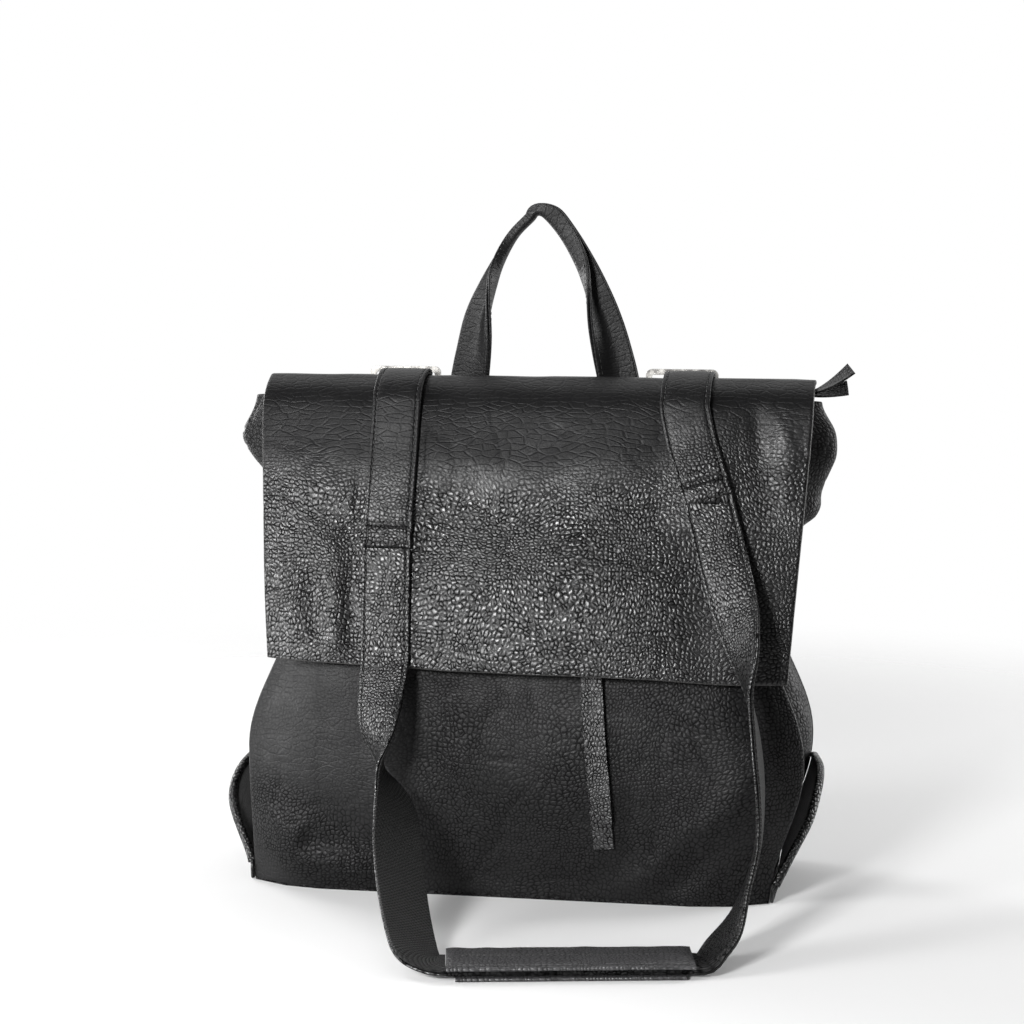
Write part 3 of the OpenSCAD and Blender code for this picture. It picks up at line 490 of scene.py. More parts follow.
class Nodes:
    """A node tree, built by short calls."""

    def __init__(self, tree):
        self.tree = tree

    def feed(self, made, inputs):
        """Gives a node its inputs, each a plain value or a socket to link from."""
        for key, value in inputs.items():
            if isinstance(value, bpy.types.NodeSocket):
                self.tree.links.new(value, made.inputs[key])
            else:
                made.inputs[key].default_value = value

    def node(self, kind, inputs=None, **settings):
        made = self.tree.nodes.new(kind)
        for key, value in settings.items():
            setattr(made, key, value)
        self.feed(made, inputs or {})
        return made

    def math(self, kind, *values):
        return self.node("ShaderNodeMath", dict(enumerate(values)), operation=kind).outputs[0]

    def plus(self, one, two):
        return self.math("ADD", one, two)

    def minus(self, one, two):
        return self.math("SUBTRACT", one, two)

    def times(self, one, two):
        return self.math("MULTIPLY", one, two)

    def vector(self, kind, one, two):
        return self.node("ShaderNodeVectorMath", {0: one, 1: two}, operation=kind).outputs[0]

    def scaled(self, vector, factor):
        inputs = {0: vector, "Scale": factor}
        return self.node("ShaderNodeVectorMath", inputs, operation="SCALE").outputs[0]

    def spread(self, value, low, high, to_low=0.0, to_high=1.0, kind="SMOOTHSTEP"):
        inputs = {0: value, 1: low, 2: high, 3: to_low, 4: to_high}
        return self.node("ShaderNodeMapRange", inputs, interpolation_type=kind).outputs[0]


class Shader(Nodes):
    """A material laid out in millimetres, along the piece's map or through the node's solid."""

    def __init__(self, name, mapped=True):
        self.material = bpy.data.materials.new(name)
        self.material.use_nodes = True
        super().__init__(self.material.node_tree)
        self.mapped = mapped
        if mapped:
            self.mm = self.scaled(self.node("ShaderNodeUVMap", uv_map="UVMap").outputs[0], MAP_UNIT)
        else:
            self.mm = self.scaled(self.node("ShaderNodeTexCoord").outputs["Object"], 1 / MM)

    def noise(self, size, detail=2.0, vector=None, roughness=0.5, output="Fac"):
        inputs = {"Vector": vector or self.mm, "Scale": 1 / size, "Detail": detail}
        made = self.node("ShaderNodeTexNoise", {**inputs, "Roughness": roughness})
        return made.outputs[output]

    def cells(self, size, vector):
        """Distance from the walls of cells about size wide."""
        inputs = {"Vector": vector, "Scale": 1 / size, "Randomness": 0.86}
        kinds = {"feature": "DISTANCE_TO_EDGE", "voronoi_dimensions": "2D" if self.mapped else "3D"}
        return self.node("ShaderNodeTexVoronoi", inputs, **kinds).outputs["Distance"]

    def warped(self, size, reach, vector=None):
        """The place, pushed about by noise, so that grain flows and stretches."""
        vector = vector or self.mm
        push = self.vector("SUBTRACT", self.noise(size, 1.0, vector, output="Color"), (0.5,) * 3)
        return self.vector("ADD", vector, self.scaled(push, reach))

    def colours(self, factor, low, high):
        """Mix of two colours, each given as red, green and blue or as one grey."""
        low, high = ((*np.broadcast_to(colour, 3).tolist(), 1) for colour in (low, high))
        inputs = {"Factor": factor, 6: low, 7: high}
        return self.node("ShaderNodeMix", inputs, data_type="RGBA").outputs[2]

    def dress(self, colour, rough, height, relief=1.0, more=None):
        """The finished material, its bump being relief millimetres where the height is 1."""
        bump = self.node("ShaderNodeBump", {"Height": height, "Distance": relief * MM})
        inputs = {"Base Color": colour, "Roughness": rough, "Normal": bump.outputs[0]}
        self.feed(self.tree.nodes["Principled BSDF"], {**inputs, **(more or {})})
        return self.material


def leather(name, pebble, relief, shine, gloss=0.33, tone=0.007, dim=0.3, valley_shade_depth=1.0, mapped=True):
    """Tumbled black leather: pebbles with painted shade in their valleys where it is bold, thin creases
    where calm.
    """
    s = Shader(name, mapped)
    grain = s.node("ShaderNodeAttribute", attribute_name="grain").outputs["Fac"] if mapped else 0.9
    flow = s.warped(11, 2.2, s.warped(64, 24))
    patches = s.spread(s.noise(40), 0.36, 0.6, 0.74, 1.0)
    strength = s.math("MINIMUM", s.times(patches, grain), 1.1)
    calm = s.minus(1.0, s.math("MINIMUM", grain, 1.0))
    walls = s.cells(pebble, s.warped(1.6, 0.9, flow))
    dome = s.spread(walls, 0.0, 0.42)
    # Painted shade: where the grain is bold, the pebbles' valleys get a darker colour, less reflection
    # and more roughness, standing in for the shade that falls in them
    valley_shade_map = s.spread(walls, 0.0, 0.3, valley_shade_depth, 0.0)
    fine = s.spread(s.cells(pebble * 0.4, flow), 0.02, 0.2)
    thin = s.spread(s.cells(3.6, s.vector("MULTIPLY", flow, (0.38, 1, 1))), 0.0, 0.16)
    fibre = s.noise(0.8, 3.0, flow, 0.65)
    height = s.times(s.times(dome, relief), strength)
    height = s.plus(height, s.times(fine, relief * 0.08))
    height = s.plus(height, s.times(s.times(thin, calm), 0.13))
    height = s.plus(height, s.times(fibre, 0.016))
    cloud = s.spread(s.noise(70, 3.0), 0.2, 0.8, 0.7, 1.0)
    broken = s.spread(s.noise(3.4, 2.0, flow), 0.36, 0.6, 0.55, 1.0)
    painted_valley_shade = s.times(s.times(valley_shade_map, s.math("MINIMUM", s.times(strength, 1.2), 1.0)), broken)
    unshaded_share = s.minus(1.0, painted_valley_shade)
    high = (tone * 1.2, tone * 1.18, tone * 1.24)
    # Colour: darker where the valleys' shade is painted, and varied at random by the cloud
    colour = s.colours(s.times(unshaded_share, cloud), tone * 0.1, high)
    rough = s.spread(s.noise(20, 3.0), 0.3, 0.7, gloss - 0.04, gloss + 0.05)
    rough = s.plus(s.plus(rough, s.times(painted_valley_shade, 0.15)), s.times(calm, 0.1))
    sheen = s.times(unshaded_share, s.minus(shine, s.times(calm, shine * dim)))
    return s.dress(colour, rough, height, more={"Specular IOR Level": sheen})


def suede(name, tone):
    """The leather's soft inner side."""
    s = Shader(name)
    fur = s.noise(0.9, 4.0, s.warped(6, 3))
    colour = s.colours(s.spread(fur, 0.3, 0.7), tone * 0.7, tone * 1.4)
    rough = s.spread(s.noise(8), 0.3, 0.7, 0.8, 0.95)
    return s.dress(colour, rough, fur, 0.35, {"Sheen Weight": 0.25, "Sheen Roughness": 0.5})


def cut_edge(name):
    """The leather's raw edge, paler than its face."""
    s = Shader(name)
    fibres = s.noise(0.5, 3.0, s.warped(3, 2))
    colour = s.colours(s.spread(fibres, 0.35, 0.7), 0.012, (0.05, 0.048, 0.046))
    return s.dress(colour, s.spread(fibres, 0.3, 0.7, 0.42, 0.65), fibres, 0.3)


def thread(name):
    """Black sewing thread."""
    s = Shader(name)
    ply = s.noise(0.35)
    return s.dress(s.colours(ply, 0.014, 0.045), s.spread(ply, 0.2, 0.8, 0.38, 0.55), ply, 0.15)


def weave(name, tone, pitch, relief, slant=0.0, mapped=False):
    """Woven cloth: yarns crossing on the slant, each a small bead that catches the light, with painted
    shade in the hollows between them.
    """
    s = Shader(name, mapped)
    x, y, _ = s.node("ShaderNodeSeparateXYZ", {0: s.warped(14, 1.2)}).outputs
    if not mapped:
        y = s.plus(y, s.node("ShaderNodeSeparateXYZ", {0: s.mm}).outputs[2])
    turn = math.pi / pitch
    one = s.math("SINE", s.times(s.plus(x, s.times(y, slant)), turn))
    two = s.math("SINE", s.times(s.minus(y, s.times(x, slant)), turn))
    beads = s.times(s.math("ABSOLUTE", one), s.math("ABSOLUTE", two))
    lint = s.noise(0.5, 3.0)
    height = s.plus(s.math("POWER", beads, 0.6), s.times(lint, 0.25))
    # Painted shade: the colour is darker where the beads are low, between the yarns
    colour = s.colours(s.spread(beads, 0.1, 0.8), tone * 0.35, tone * 1.3)
    more = {"Sheen Weight": 0.04, "Specular IOR Level": 0.25}
    return s.dress(colour, s.spread(lint, 0.3, 0.7, 0.6, 0.8), height, relief, more)


def metal(name, tone, gloss):
    """Plated metal, slightly hazed."""
    s = Shader(name, mapped=False)
    haze = s.noise(6, 4.0)
    colour = s.colours(s.spread(haze, 0.35, 0.7), tuple(c * 0.82 for c in tone), tone)
    rough = s.spread(haze, 0.3, 0.75, gloss - 0.06, gloss + 0.12)
    return s.dress(colour, rough, s.noise(0.6, 3.0), 0.006, {"Metallic": 1.0})


def board(name):
    """Stiff fibre board, flecked."""
    s = Shader(name, mapped=False)
    fleck = s.noise(1.5, 4.0)
    colour = s.colours(s.spread(fleck, 0.35, 0.65), 0.03, (0.07, 0.066, 0.06))
    return s.dress(colour, s.spread(fleck, 0.2, 0.8, 0.75, 0.9), fleck, 0.2)


BODY = leather("body_leather", pebble=2.6, relief=0.2, gloss=0.42, shine=0.21, dim=-0.55, valley_shade_depth=0.8)
FLAP = leather("flap_leather", pebble=2.7, relief=0.26, gloss=0.31, shine=0.85, dim=0.92)
STRAP = leather("strap_leather", pebble=2.4, relief=0.24, gloss=0.32, shine=0.85, dim=0.9)
TRIM = leather("trim_leather", pebble=2.3, relief=0.22, gloss=0.36, shine=0.35)
# The pull's leather has a lighter tone than the body's: painted light, standing in for the light that
# the strip catches
PULL_LIT_LEATHER = leather("pull_leather_lit", pebble=2.3, relief=0.24, gloss=0.4, tone=0.012, shine=0.9)
# The pad's leather has a lighter tone than the bag's: painted light, standing in for the highlights
# along its top
PAD_LIT_LEATHER = leather("pad_leather_lit", pebble=2.5, relief=0.3, gloss=0.36, tone=0.045, shine=1.0)
SOLID_LEATHER = leather("solid_leather", pebble=2.6, relief=0.2, mapped=False, shine=0.35)
FLESH = suede("leather_inside", 0.014)
EDGE = cut_edge("leather_cut")
THREAD = thread("thread")
WEB = weave("webbing_weave", 0.006, pitch=2.4, relief=0.7, slant=0.6, mapped=True)
TAPE = weave("zip_tape_weave", 0.016, pitch=0.9, relief=0.2)
CLOTH = weave("lining_weave", 0.05, pitch=0.8, relief=0.15)
METAL = metal("nickel", tone=(0.42, 0.41, 0.39), gloss=0.26)
BOARD = board("base_board_fibre")

# The solids that show as they are: material, finish, how far their edges are rounded, and names
CAD_LOOKS = (
    (SOLID_LEATHER, "leather", 0.8, "base_panel"),
    (SOLID_LEATHER, "leather", 0.4, "lower_tabs"),
    (SOLID_LEATHER, "webbing", 0.4, "pad_core"),
    (BOARD, "board", 0.4, "base_board"),
    (CLOTH, "lining_cloth", 0, "lining inner_slip_pocket front_pocket_bag"),
    (TAPE, "zip_tape", 0, "top_zip_tape_front top_zip_tape_back front_zip_tapes"),
    (METAL, "metal", 0.2, "top_zip_teeth_front top_zip_teeth_back front_zip_teeth"),
    (METAL, "metal", 0.3, "top_zip_stops top_zip_slider top_pull_ring body_snap flap_snap"),
    (METAL, "metal", 0.3, "front_zip_stops front_zip_slider front_pull_ring"),
    (METAL, "metal", 0.5, "slide_buckles"),
    (METAL, "metal", 0.8, "lower_rings"),
    (METAL, "metal", 0.9, "strap_rings"),
)
for material, finish, round_off, names in CAD_LOOKS:
    for name in names.split():
        node = NODES[name]
        node.data.materials.clear()
        node.data.materials.append(material)
        if round_off:
            bevel = node.modifiers.new("rounded", "BEVEL")
            bevel.width, bevel.segments, bevel.limit_method = round_off * MM, 3, "ANGLE"
            bevel.angle_limit = math.radians(40)
            bevel.harden_normals = True


# ---------- the camera and the light


def point_at(thing, target):
    """Turns a lamp's beam towards the target."""
    away = np.array(target, float) - np.array(thing.location)
    thing.rotation_mode = "QUATERNION"
    thing.rotation_quaternion = Vector(away).to_track_quat("-Z", "Y")


AZIMUTH, TILT, DISTANCE, EYE_HEIGHT, SIDE_STEP = math.radians(10), math.radians(7.05), 1.54, 0.42, -0.014
camera = put("camera", bpy.data.cameras.new("camera"))
camera.location = (
    DISTANCE * math.sin(AZIMUTH) + SIDE_STEP * math.cos(AZIMUTH),
    -DISTANCE * math.cos(AZIMUTH) + SIDE_STEP * math.sin(AZIMUTH),
    EYE_HEIGHT,
)
camera.rotation_euler = (math.pi / 2 - TILT, 0, AZIMUTH)
camera.data.sensor_width, camera.data.lens = 36, 87.9
camera.data.clip_start = 0.05
bpy.context.scene.camera = camera


def softbox(name, place, target, size, watts):
    """A rectangular lamp that looks at the target."""
    data = bpy.data.lights.new(name, "AREA")
    data.shape, data.size, data.size_y = "RECTANGLE", size[0], size[1]
    data.energy = watts
    lamp = put(name, data)
    lamp.location = place
    point_at(lamp, target)


softbox("key", (-0.36, -1.38, 0.64), (0, -0.07, 0.18), (0.3, 0.3), 21)
softbox("left", (-1.2, -0.7, 0.35), (0, 0, 0.15), (0.4, 0.9), 20)
softbox("top", (0.0, 0.75, 1.7), (0, 0.1, 0), (2.4, 1.5), 9)
softbox("rim_left", (-1.0, 0.6, 0.5), (0, 0, 0.2), (0.4, 1.2), 12)
softbox("rim_right", (1.05, 0.45, 0.45), (0, 0, 0.2), (0.4, 1.2), 12)

# White to the camera, and a dim light apart from what shines back from behind the bag
world = bpy.data.worlds.new("studio")
bpy.context.scene.world = world
world.use_nodes = True
studio = Nodes(world.node_tree)
rays = studio.node("ShaderNodeLightPath").outputs
way = studio.node("ShaderNodeTexCoord").outputs["Generated"]
behind = studio.spread(studio.node("ShaderNodeSeparateXYZ", {0: way}).outputs["Y"], -0.1, 0.6)
seen = studio.math("MAXIMUM", rays["Is Camera Ray"], rays["Is Transmission Ray"])
seen = studio.math("MAXIMUM", seen, studio.times(rays["Is Glossy Ray"], behind))
light = studio.spread(seen, 0.0, 1.0, 0.11, 1.0, kind="LINEAR")
studio.feed(studio.tree.nodes["Background"], {"Color": (1, 1, 1, 1), "Strength": light})

# A pale floor that fades out round the bag
floor_mesh = bpy.data.meshes.new("floor")
floor_mesh.from_pydata([(-6, -6, 0), (6, -6, 0), (6, 6, 0), (-6, 6, 0)], [], [(0, 1, 2, 3)])
floor = put("floor", floor_mesh)
paint = bpy.data.materials.new("floor")
paint.use_nodes = True
ground = Nodes(paint.node_tree)
middle = ground.node("ShaderNodeTexCoord").outputs["Object"]
far = ground.node("ShaderNodeVectorMath", {0: middle}, operation="LENGTH").outputs["Value"]
fade = ground.spread(far, 0.45, 1.0, 1.0, 0.0)
looks = {"Base Color": (0.8, 0.8, 0.8, 1), "Roughness": 0.9, "Alpha": fade}
ground.feed(ground.tree.nodes["Principled BSDF"], looks)
floor_mesh.materials.append(paint)
bpy.context.scene.view_settings.view_transform = "Standard"


# ---------- the body's panels


def grid(low, high, rows, cols, falling=False):
    """Heights from low to high and places from -1 to 1 across them. The rows run downward where
    that makes the grid face outward."""
    heights = np.linspace(low, high, rows)
    if falling:
        heights = heights[::-1]
    return np.meshgrid(heights, np.linspace(-1, 1, cols), indexing="ij")


def panel_grid(falling):
    """Heights and shares of the half width of a panel."""
    return grid(LEATHER + LAY, BAG_H, 150, 170, falling)


def open_face(u, z):
    """1 on a panel's face, 0 along its sides and little at its foot, where it is sewn down."""
    return np.clip((1 - np.abs(u)) * 8, 0, 1) * np.clip(z / 12, 0.15, 1)


def folds(x, z, table):
    """Ridges and valleys of a table of (height, start, end, width)."""
    return sum(high * fold_line(x, z, start, end, wide) for high, start, end, wide in table)


def panel_relief(x, z, seed):
    """Soft undulation and creases of a panel, in millimetres outward."""
    swell = 1.3 * noise(x, z, 58, seed) + 0.6 * noise(x, z, 24, seed + 1)
    lines = 0.55 * creases(x, z, 34, seed + 2) + 0.3 * creases(x, z, 17, seed + 3)
    return swell + lines


def snap(z, target, reach=5):
    """Moves the row nearest to a height on to it, and its neighbours a little. Says which it is."""
    profile = z.mean(axis=1)
    k = int(np.argmin(np.abs(profile - target)))
    z += ((target - profile[k]) * bell(np.arange(len(z)), k, reach))[:, None]
    return k


FRONT_FOLDS = (
    (2.0, (74, 6), (150, 84), 12),
    (-1.6, (96, 4), (160, 66), 9),
    (-2.2, (-146, 66), (-74, 26), 11),
    (4.2, (-166, 44), (-80, 6), 12),
    (-1.2, (-60, 92), (-24, 24), 9),
)


def front_panel():
    """The panel with its zip's slot cut out, draped at its lower corners."""
    z, u = panel_grid(falling=True)
    top = snap(z, ZIP_Z + ZIP_SLOT)
    bottom = snap(z, ZIP_Z - ZIP_SLOT)
    x = u * edge(z)
    sides = []
    for end in (-1, 1):
        target = -ZIP_SHIFT + end * (ZIP_L / 2 + 3)
        row = x[(top + bottom) // 2]
        k = int(np.argmin(np.abs(row - target)))
        x += bell(z, ZIP_Z, 14) * bell(np.arange(len(row)), k, 5) * (target - row[k])
        sides.append(k)
    u = x / edge(z)
    out = panel_relief(x, z, 3) + 2.2 * fold_line(x, z, (-118, 140), (-104, 96), 9)
    out = out * (1 - 0.9 * bell(z, ZIP_Z, 20)) + folds(x, z, FRONT_FOLDS)
    out -= 0.9 * np.exp(-(((1 - np.abs(u)) * edge(z) - 5) ** 2) / 1.6)
    # The drape stays low where the zip's pull swings over it
    swept = ease((x + 134) / 12) * ease((102 - x) / 14) * ease((z - 18) / 14)
    top_out = mix(4.5, -0.2, swept)
    out = np.maximum(top_out - np.log1p(np.exp(2 * (top_out - out))) / 2, -3.5)
    outer = join(x + sway(z), -(panel_depth(u, z) + out * open_face(u, z)), z)
    grain = 0.2 + 0.6 * ease((x + 92) / 50) + 0.2 * noise(x, z, 44, 31)
    grain = np.clip(grain + 1.1 * fold_line(x, z, (-172, 56), (-84, 2), 24), 0.3, 1.3)
    piece = Piece("front_panel_leather", BODY, FLESH, THREAD)
    hole = (top, bottom, *sides)
    sheet(piece, outer, LEATHER, slots=(0, 1, 0), rim=0.5, grain=grain, hole=hole)
    away = surface_normal(outer)
    for row in (top - 2, bottom + 2):
        sewn = np.s_[row, sides[0] - 2 : sides[1] + 3]
        stitches(piece, outer[sewn], away[sewn], 2)
    show(piece, "bag", ["front_panel"])


def back_panel():
    z, u = panel_grid(falling=False)
    x = u * edge(z)
    out = np.minimum(panel_relief(x, z, 40), 0.4) - 0.6
    outer = join(x + sway(z), panel_depth(u, z) + out * open_face(u, z), z)
    piece = Piece("back_panel_leather", BODY, FLESH)
    sheet(piece, outer, LEATHER, slots=(0, 1, 0), rim=0.5, grain=0.8)
    show(piece, "bag", ["back_panel"])


def gusset(side):
    """Side of the bag from base to ear. The right one has a seam across it below the ear."""
    z, v = grid(LEATHER + LAY, BAG_H, 150, 60, falling=side > 0)
    y = v * (seam_depth(z) - LEATHER - LAY)
    crumple = bell(z, EAR_Z, 42) * (0.4 if side > 0 else 1)
    out = 1.2 * noise(y, z, 26, 60 + side) + 0.7 * noise(y, z, 11, 62 + side)
    out += crumple * (0.8 * noise(y, z, 12, 64 + side) + 1.2 * creases(y, z, 12, 66 + side))
    calm = np.clip((1 - np.abs(v)) * 5, 0, 1) * np.clip((z - 4) / 14, 0, 1)
    out = np.minimum(out, 0.9) * calm
    if side > 0:
        out += 0.9 * np.tanh((z - SIDE_SEAM_Z) / 0.8) * bell(z, SIDE_SEAM_Z, 9)
        out -= 0.8 * bell(z, SIDE_SEAM_Z - 3.5, 1.0)
    outer = join(side * (gusset_x(v, z, side) + out) + sway(z), y, z)
    piece = Piece("gusset_leather_" + SIDE_NAME[side], BODY, FLESH)
    sheet(piece, outer, LEATHER, slots=(0, 1, 0), grain=0.8)
    show(piece, "bag", ["gusset_" + SIDE_NAME[side]])


def side_pocket(side):
    """Pocket sewn over the gusset: its rim, a rolled hem, climbs from the front seam's foot."""
    s, v = grid(0, 1, 46, 90, falling=side > 0)
    rim = mix(POCKET_FOOT, POCKET_H, np.sin(np.pi / 2 * np.clip((v + 1) / 1.6, 0, 1)))
    z = mix(1.6, rim, s)
    swell = mix(0.03, 1, s)
    forward = v + 0.25 * (1 - v * v)
    across = np.clip(np.cos(np.pi / 2 * forward), 0, 1) ** (1.6 if side < 0 else 0.9)
    wave = 0.8 * noise(v * 50, z, 22, 80 + side) * swell
    wave += 0.5 * bell(rim - z, 3, 3) - 0.5 * bell(rim - z, 8, 1.2)
    out = POCKET_LAP + LEATHER + (POCKET_BULGE[side] * swell + wave) * across
    outer = join(side * (edge(z) + out) + sway(z), v * seam_depth(z), z)
    piece = Piece("side_pocket_leather_" + SIDE_NAME[side], BODY, FLESH, STRAP, THREAD)
    sheet(piece, outer, LEATHER, rim=0.55)
    rim_row, seam_row = (-1, -7) if side < 0 else (0, 6)
    away = surface_normal(outer)
    stitches(piece, outer[seam_row, 8:-3], away[seam_row, 8:-3], 3)
    hem = outer[rim_row] - away[rim_row] * LEATHER / 2
    hem[:, 2] = np.maximum(hem[:, 2], HEM_HIGH + 1)
    turn = np.linspace(0, 2 * np.pi, 12, endpoint=False) + np.pi / 12
    roll = join(np.cos(turn) * HEM_WIDE, np.sin(turn) * HEM_HIGH)
    track = frames(np.hstack([hem, away[rim_row]])[2:-2])
    sweep(piece, track, roll, slot=2, grain=1.2)
    show(piece, "bag", ["side_pocket_" + SIDE_NAME[side]])


# ---------- the flap


def hill(x, z, at, wide):
    """1 at a place of the flap, falling off over wide in both directions."""
    return bell(x, at[0], wide[0]) * bell(z, at[1], wide[1])


FLAP_HILLS = (
    (6.5, (22, 178), (66, 52)),
    (-8.0, (140, 190), (42, 90)),
    (-3.0, (-30, 228), (60, 22)),
    (2.5, (-138, 178), (16, 40)),
)
FLAP_FOLDS = (
    (2.6, (-117, 214), (-111, 150), 8),
    (-3.0, (-130, 196), (-124, 160), 9),
    (-2.0, (-104, 190), (-100, 150), 7),
    (1.5, (-150, 262), (-96, 232), 12),
    (-2.2, (139, 296), (146, 236), 6),
    (1.4, (156, 290), (158, 240), 8),
    (-1.5, (122, 230), (140, 150), 7),
)
# Start and end of the fine creases of the flap's middle
FLAP_CREASES = (
    ((28, 214), (70, 244)),
    ((14, 196), (66, 214)),
    ((34, 178), (88, 206)),
    ((-40, 150), (20, 166)),
)


def flap_relief(x, z):
    """Drape of the flap's front, in millimetres outward."""
    out = 1.5 * noise(x, z, 66, 7) + 0.35 * noise(x, z, 27, 8)
    out += 0.3 * creases(x, z, 30, 9) + 0.2 * creases(x, z, 15, 10)
    out += sum(high * hill(x, z, at, wide) for high, at, wide in FLAP_HILLS)
    out += folds(x, z, FLAP_FOLDS)
    for start, end in FLAP_CREASES:
        out += 0.7 * fold_line(x, z + 7, start, end, 5) - 1.0 * fold_line(x, z, start, end, 3.2)
    return out


def flap_grid():
    """Outer side of the flap, from the seam on the back over the fold to the front hem."""
    u = np.linspace(-1, 1, 200)
    half_top = np.where(u < 0, FLAP_W / 2 - 6, FLAP_W / 2)
    rows = []
    back_z = np.linspace(CROWN_Z - 18, CROWN_Z, 9)[:-1]
    for z in back_z:
        half = min(float(edge(z)) - 1, FLAP_W * 0.485)
        rows.append(join(u * half, CROWN_BACK + float(depth(z) - depth(CROWN_Z)), z))
    phi = np.linspace(-90, 90, 46)
    for angle in phi:
        narrow = 1 - 0.03 * min(1, max(0, (-angle - CREASE) / 70))
        rows.append(join(u * half_top * narrow, *fold_point(angle, 0)))
    hem_z = mix(HEM_LEFT_Z, HEM_RIGHT_Z, (u + 1) / 2)
    for s in np.linspace(0, 1, 92)[1:]:
        z = mix(CROWN_Z, hem_z, s)
        x = u * mix(half_top, np.where(u < 0, HEM_LEFT, HEM_RIGHT), s)
        rows.append(join(x, face_y(z, 0) + FLAP_DRAPE * s * drop(u), z))
    points = np.array(rows)
    # The fold runs into the front without a break
    low, high = len(back_z) + 26, len(back_z) + len(phi) + 22
    for _ in range(60):
        beside = (points[low - 1 : high - 1] + points[low + 1 : high + 1]) / 2
        points[low:high] += 0.5 * (beside - points[low:high])
    return points


def flap():
    """The flap's leather, draped where no strap lies on it, and the backing inside."""
    plain = flap_grid()
    x, z = plain[..., 0], plain[..., 2]
    # From the seam on the back along the leather: the drape sets in where the fold ends
    length = lengths(plain)
    front = ease((length - DRAPE_START) / 40)
    # About 1 where a strap lies on the flap, whose drape is held down there
    under_strap = np.exp(-(((x + 83) / 19) ** 4)) + np.exp(-(((x - 104) / 22) ** 4)) * (z > 226)
    out = flap_relief(x, z) * front * (1 - 0.85 * np.clip(under_strap, 0, 1))
    out = 5 * np.tanh(out / 5)
    out = np.where(under_strap > 0.2, np.minimum(out, 0.2), out)
    top = (1 - front) * 0.5 * noise(x, length, 22, 12) * np.clip(length / 20, 0, 1)
    outer = plain + surface_normal(plain) * (out + np.minimum(top, 0.1))[..., None]
    outer[..., 2] += 0.8 * noise(x, 0, 40, 21) * np.clip((length - 200) / 30, 0, 1)
    right_side = np.clip((x - 70) / 50, 0, 1)
    bold = ease((length - BOLD_START + 30 * right_side) / 46)
    grain = 0.08 + 1.05 * bold - 0.42 * right_side * bold + 0.12 * noise(x, z, 50, 30)
    piece = Piece("flap_leather_sheet", FLAP, FLESH, EDGE)
    sheet(piece, outer, LEATHER, grain=np.clip(grain, 0.12, 1.3), rim=0.3)
    show(piece, replaces=["flap_leather", "flap_back_strip"], blend=FLAP_BEND)

    away = surface_normal(outer)
    start = int(np.argmax(length[:, length.shape[1] // 2] > BACKING_START))
    under = (outer - away * (LEATHER + LAY))[start:, 1:-1]
    piece = Piece("flap_backing_sheet", FLESH, FLESH, EDGE)
    sheet(piece, under[:-1], BACKING)
    show(piece, "flap", ["flap_backing"])


# ---------- straps


def rounded(across, half, low, high, raised=0):
    """Section of a strip with round edges, through places from right to left. raised is added to
    its outer side."""
    r = (high - low) / 2
    past = np.clip((np.abs(across) - (half - r)) / r, 0, 1)
    rounding = r * (1 - np.sqrt(1 - past**2))
    return np.vstack([join(across, high - rounding + raised), join(across, low + rounding)[::-1]])


def band_places(half, low, high, groove_at=STITCH_INSET):
    """Places across a sewn strap from right to left, close together at its edges and grooves."""
    r = (high - low) / 2
    grooves = [groove_at + step for step in (-0.5, 0, 0.5, 1.4)]
    inset = np.array([0, 0.12, 0.45, r, r + 0.8, *grooves, half * 0.4, half * 0.7])
    across = np.unique(np.append(half - inset, half))
    return np.concatenate([-across[::-1], across])[::-1]


def band(half, low, high, crown=0.0, groove=0.0, groove_at=STITCH_INSET):
    """Section of a sewn strap: a crowned top with a stitched groove near each rounded edge."""
    across = band_places(half, low, high, groove_at)
    hump = crown * np.clip(1 - (across / (half - groove_at)) ** 2, 0, 1)
    channel = groove * bell(np.abs(across), half - groove_at, 0.5)
    return rounded(across, half, low, high, hump - channel)


def repeated(section, count):
    """The section at each of count stations, ready to be changed along them."""
    return np.repeat(section[None], count, axis=0)


def edge_lines(track, at, out):
    """Lines along both edges of a strip, each with the directions that its face looks in."""
    place, wide, face = track
    return [(place + wide * side * at + face * out, face) for side in (-1, 1)]


def top_x(side):
    """X of a strap on the flap's fold."""
    return -RING_X + 7 if side < 0 else RING_X + 8


def joint_x(side):
    """X of the sewn joint between a strap's upper and lower part."""
    return -RING_X + 6 if side < 0 else RING_X + 25


def joint_z(side):
    """Height of that joint."""
    return BAG_H * (0.707 if side < 0 else 0.807)


RING_Y, RING_LOW = float(depth(CROWN_Z)) + 15, BAG_H - 11


def back_x(side, z):
    """X of a strap at a height of the back."""
    share = np.clip((z - STRAP_FOOT_Z) / (RING_LOW - STRAP_FOOT_Z), 0, 1)
    return side * mix(LOWER_RING_X, RING_X, share)


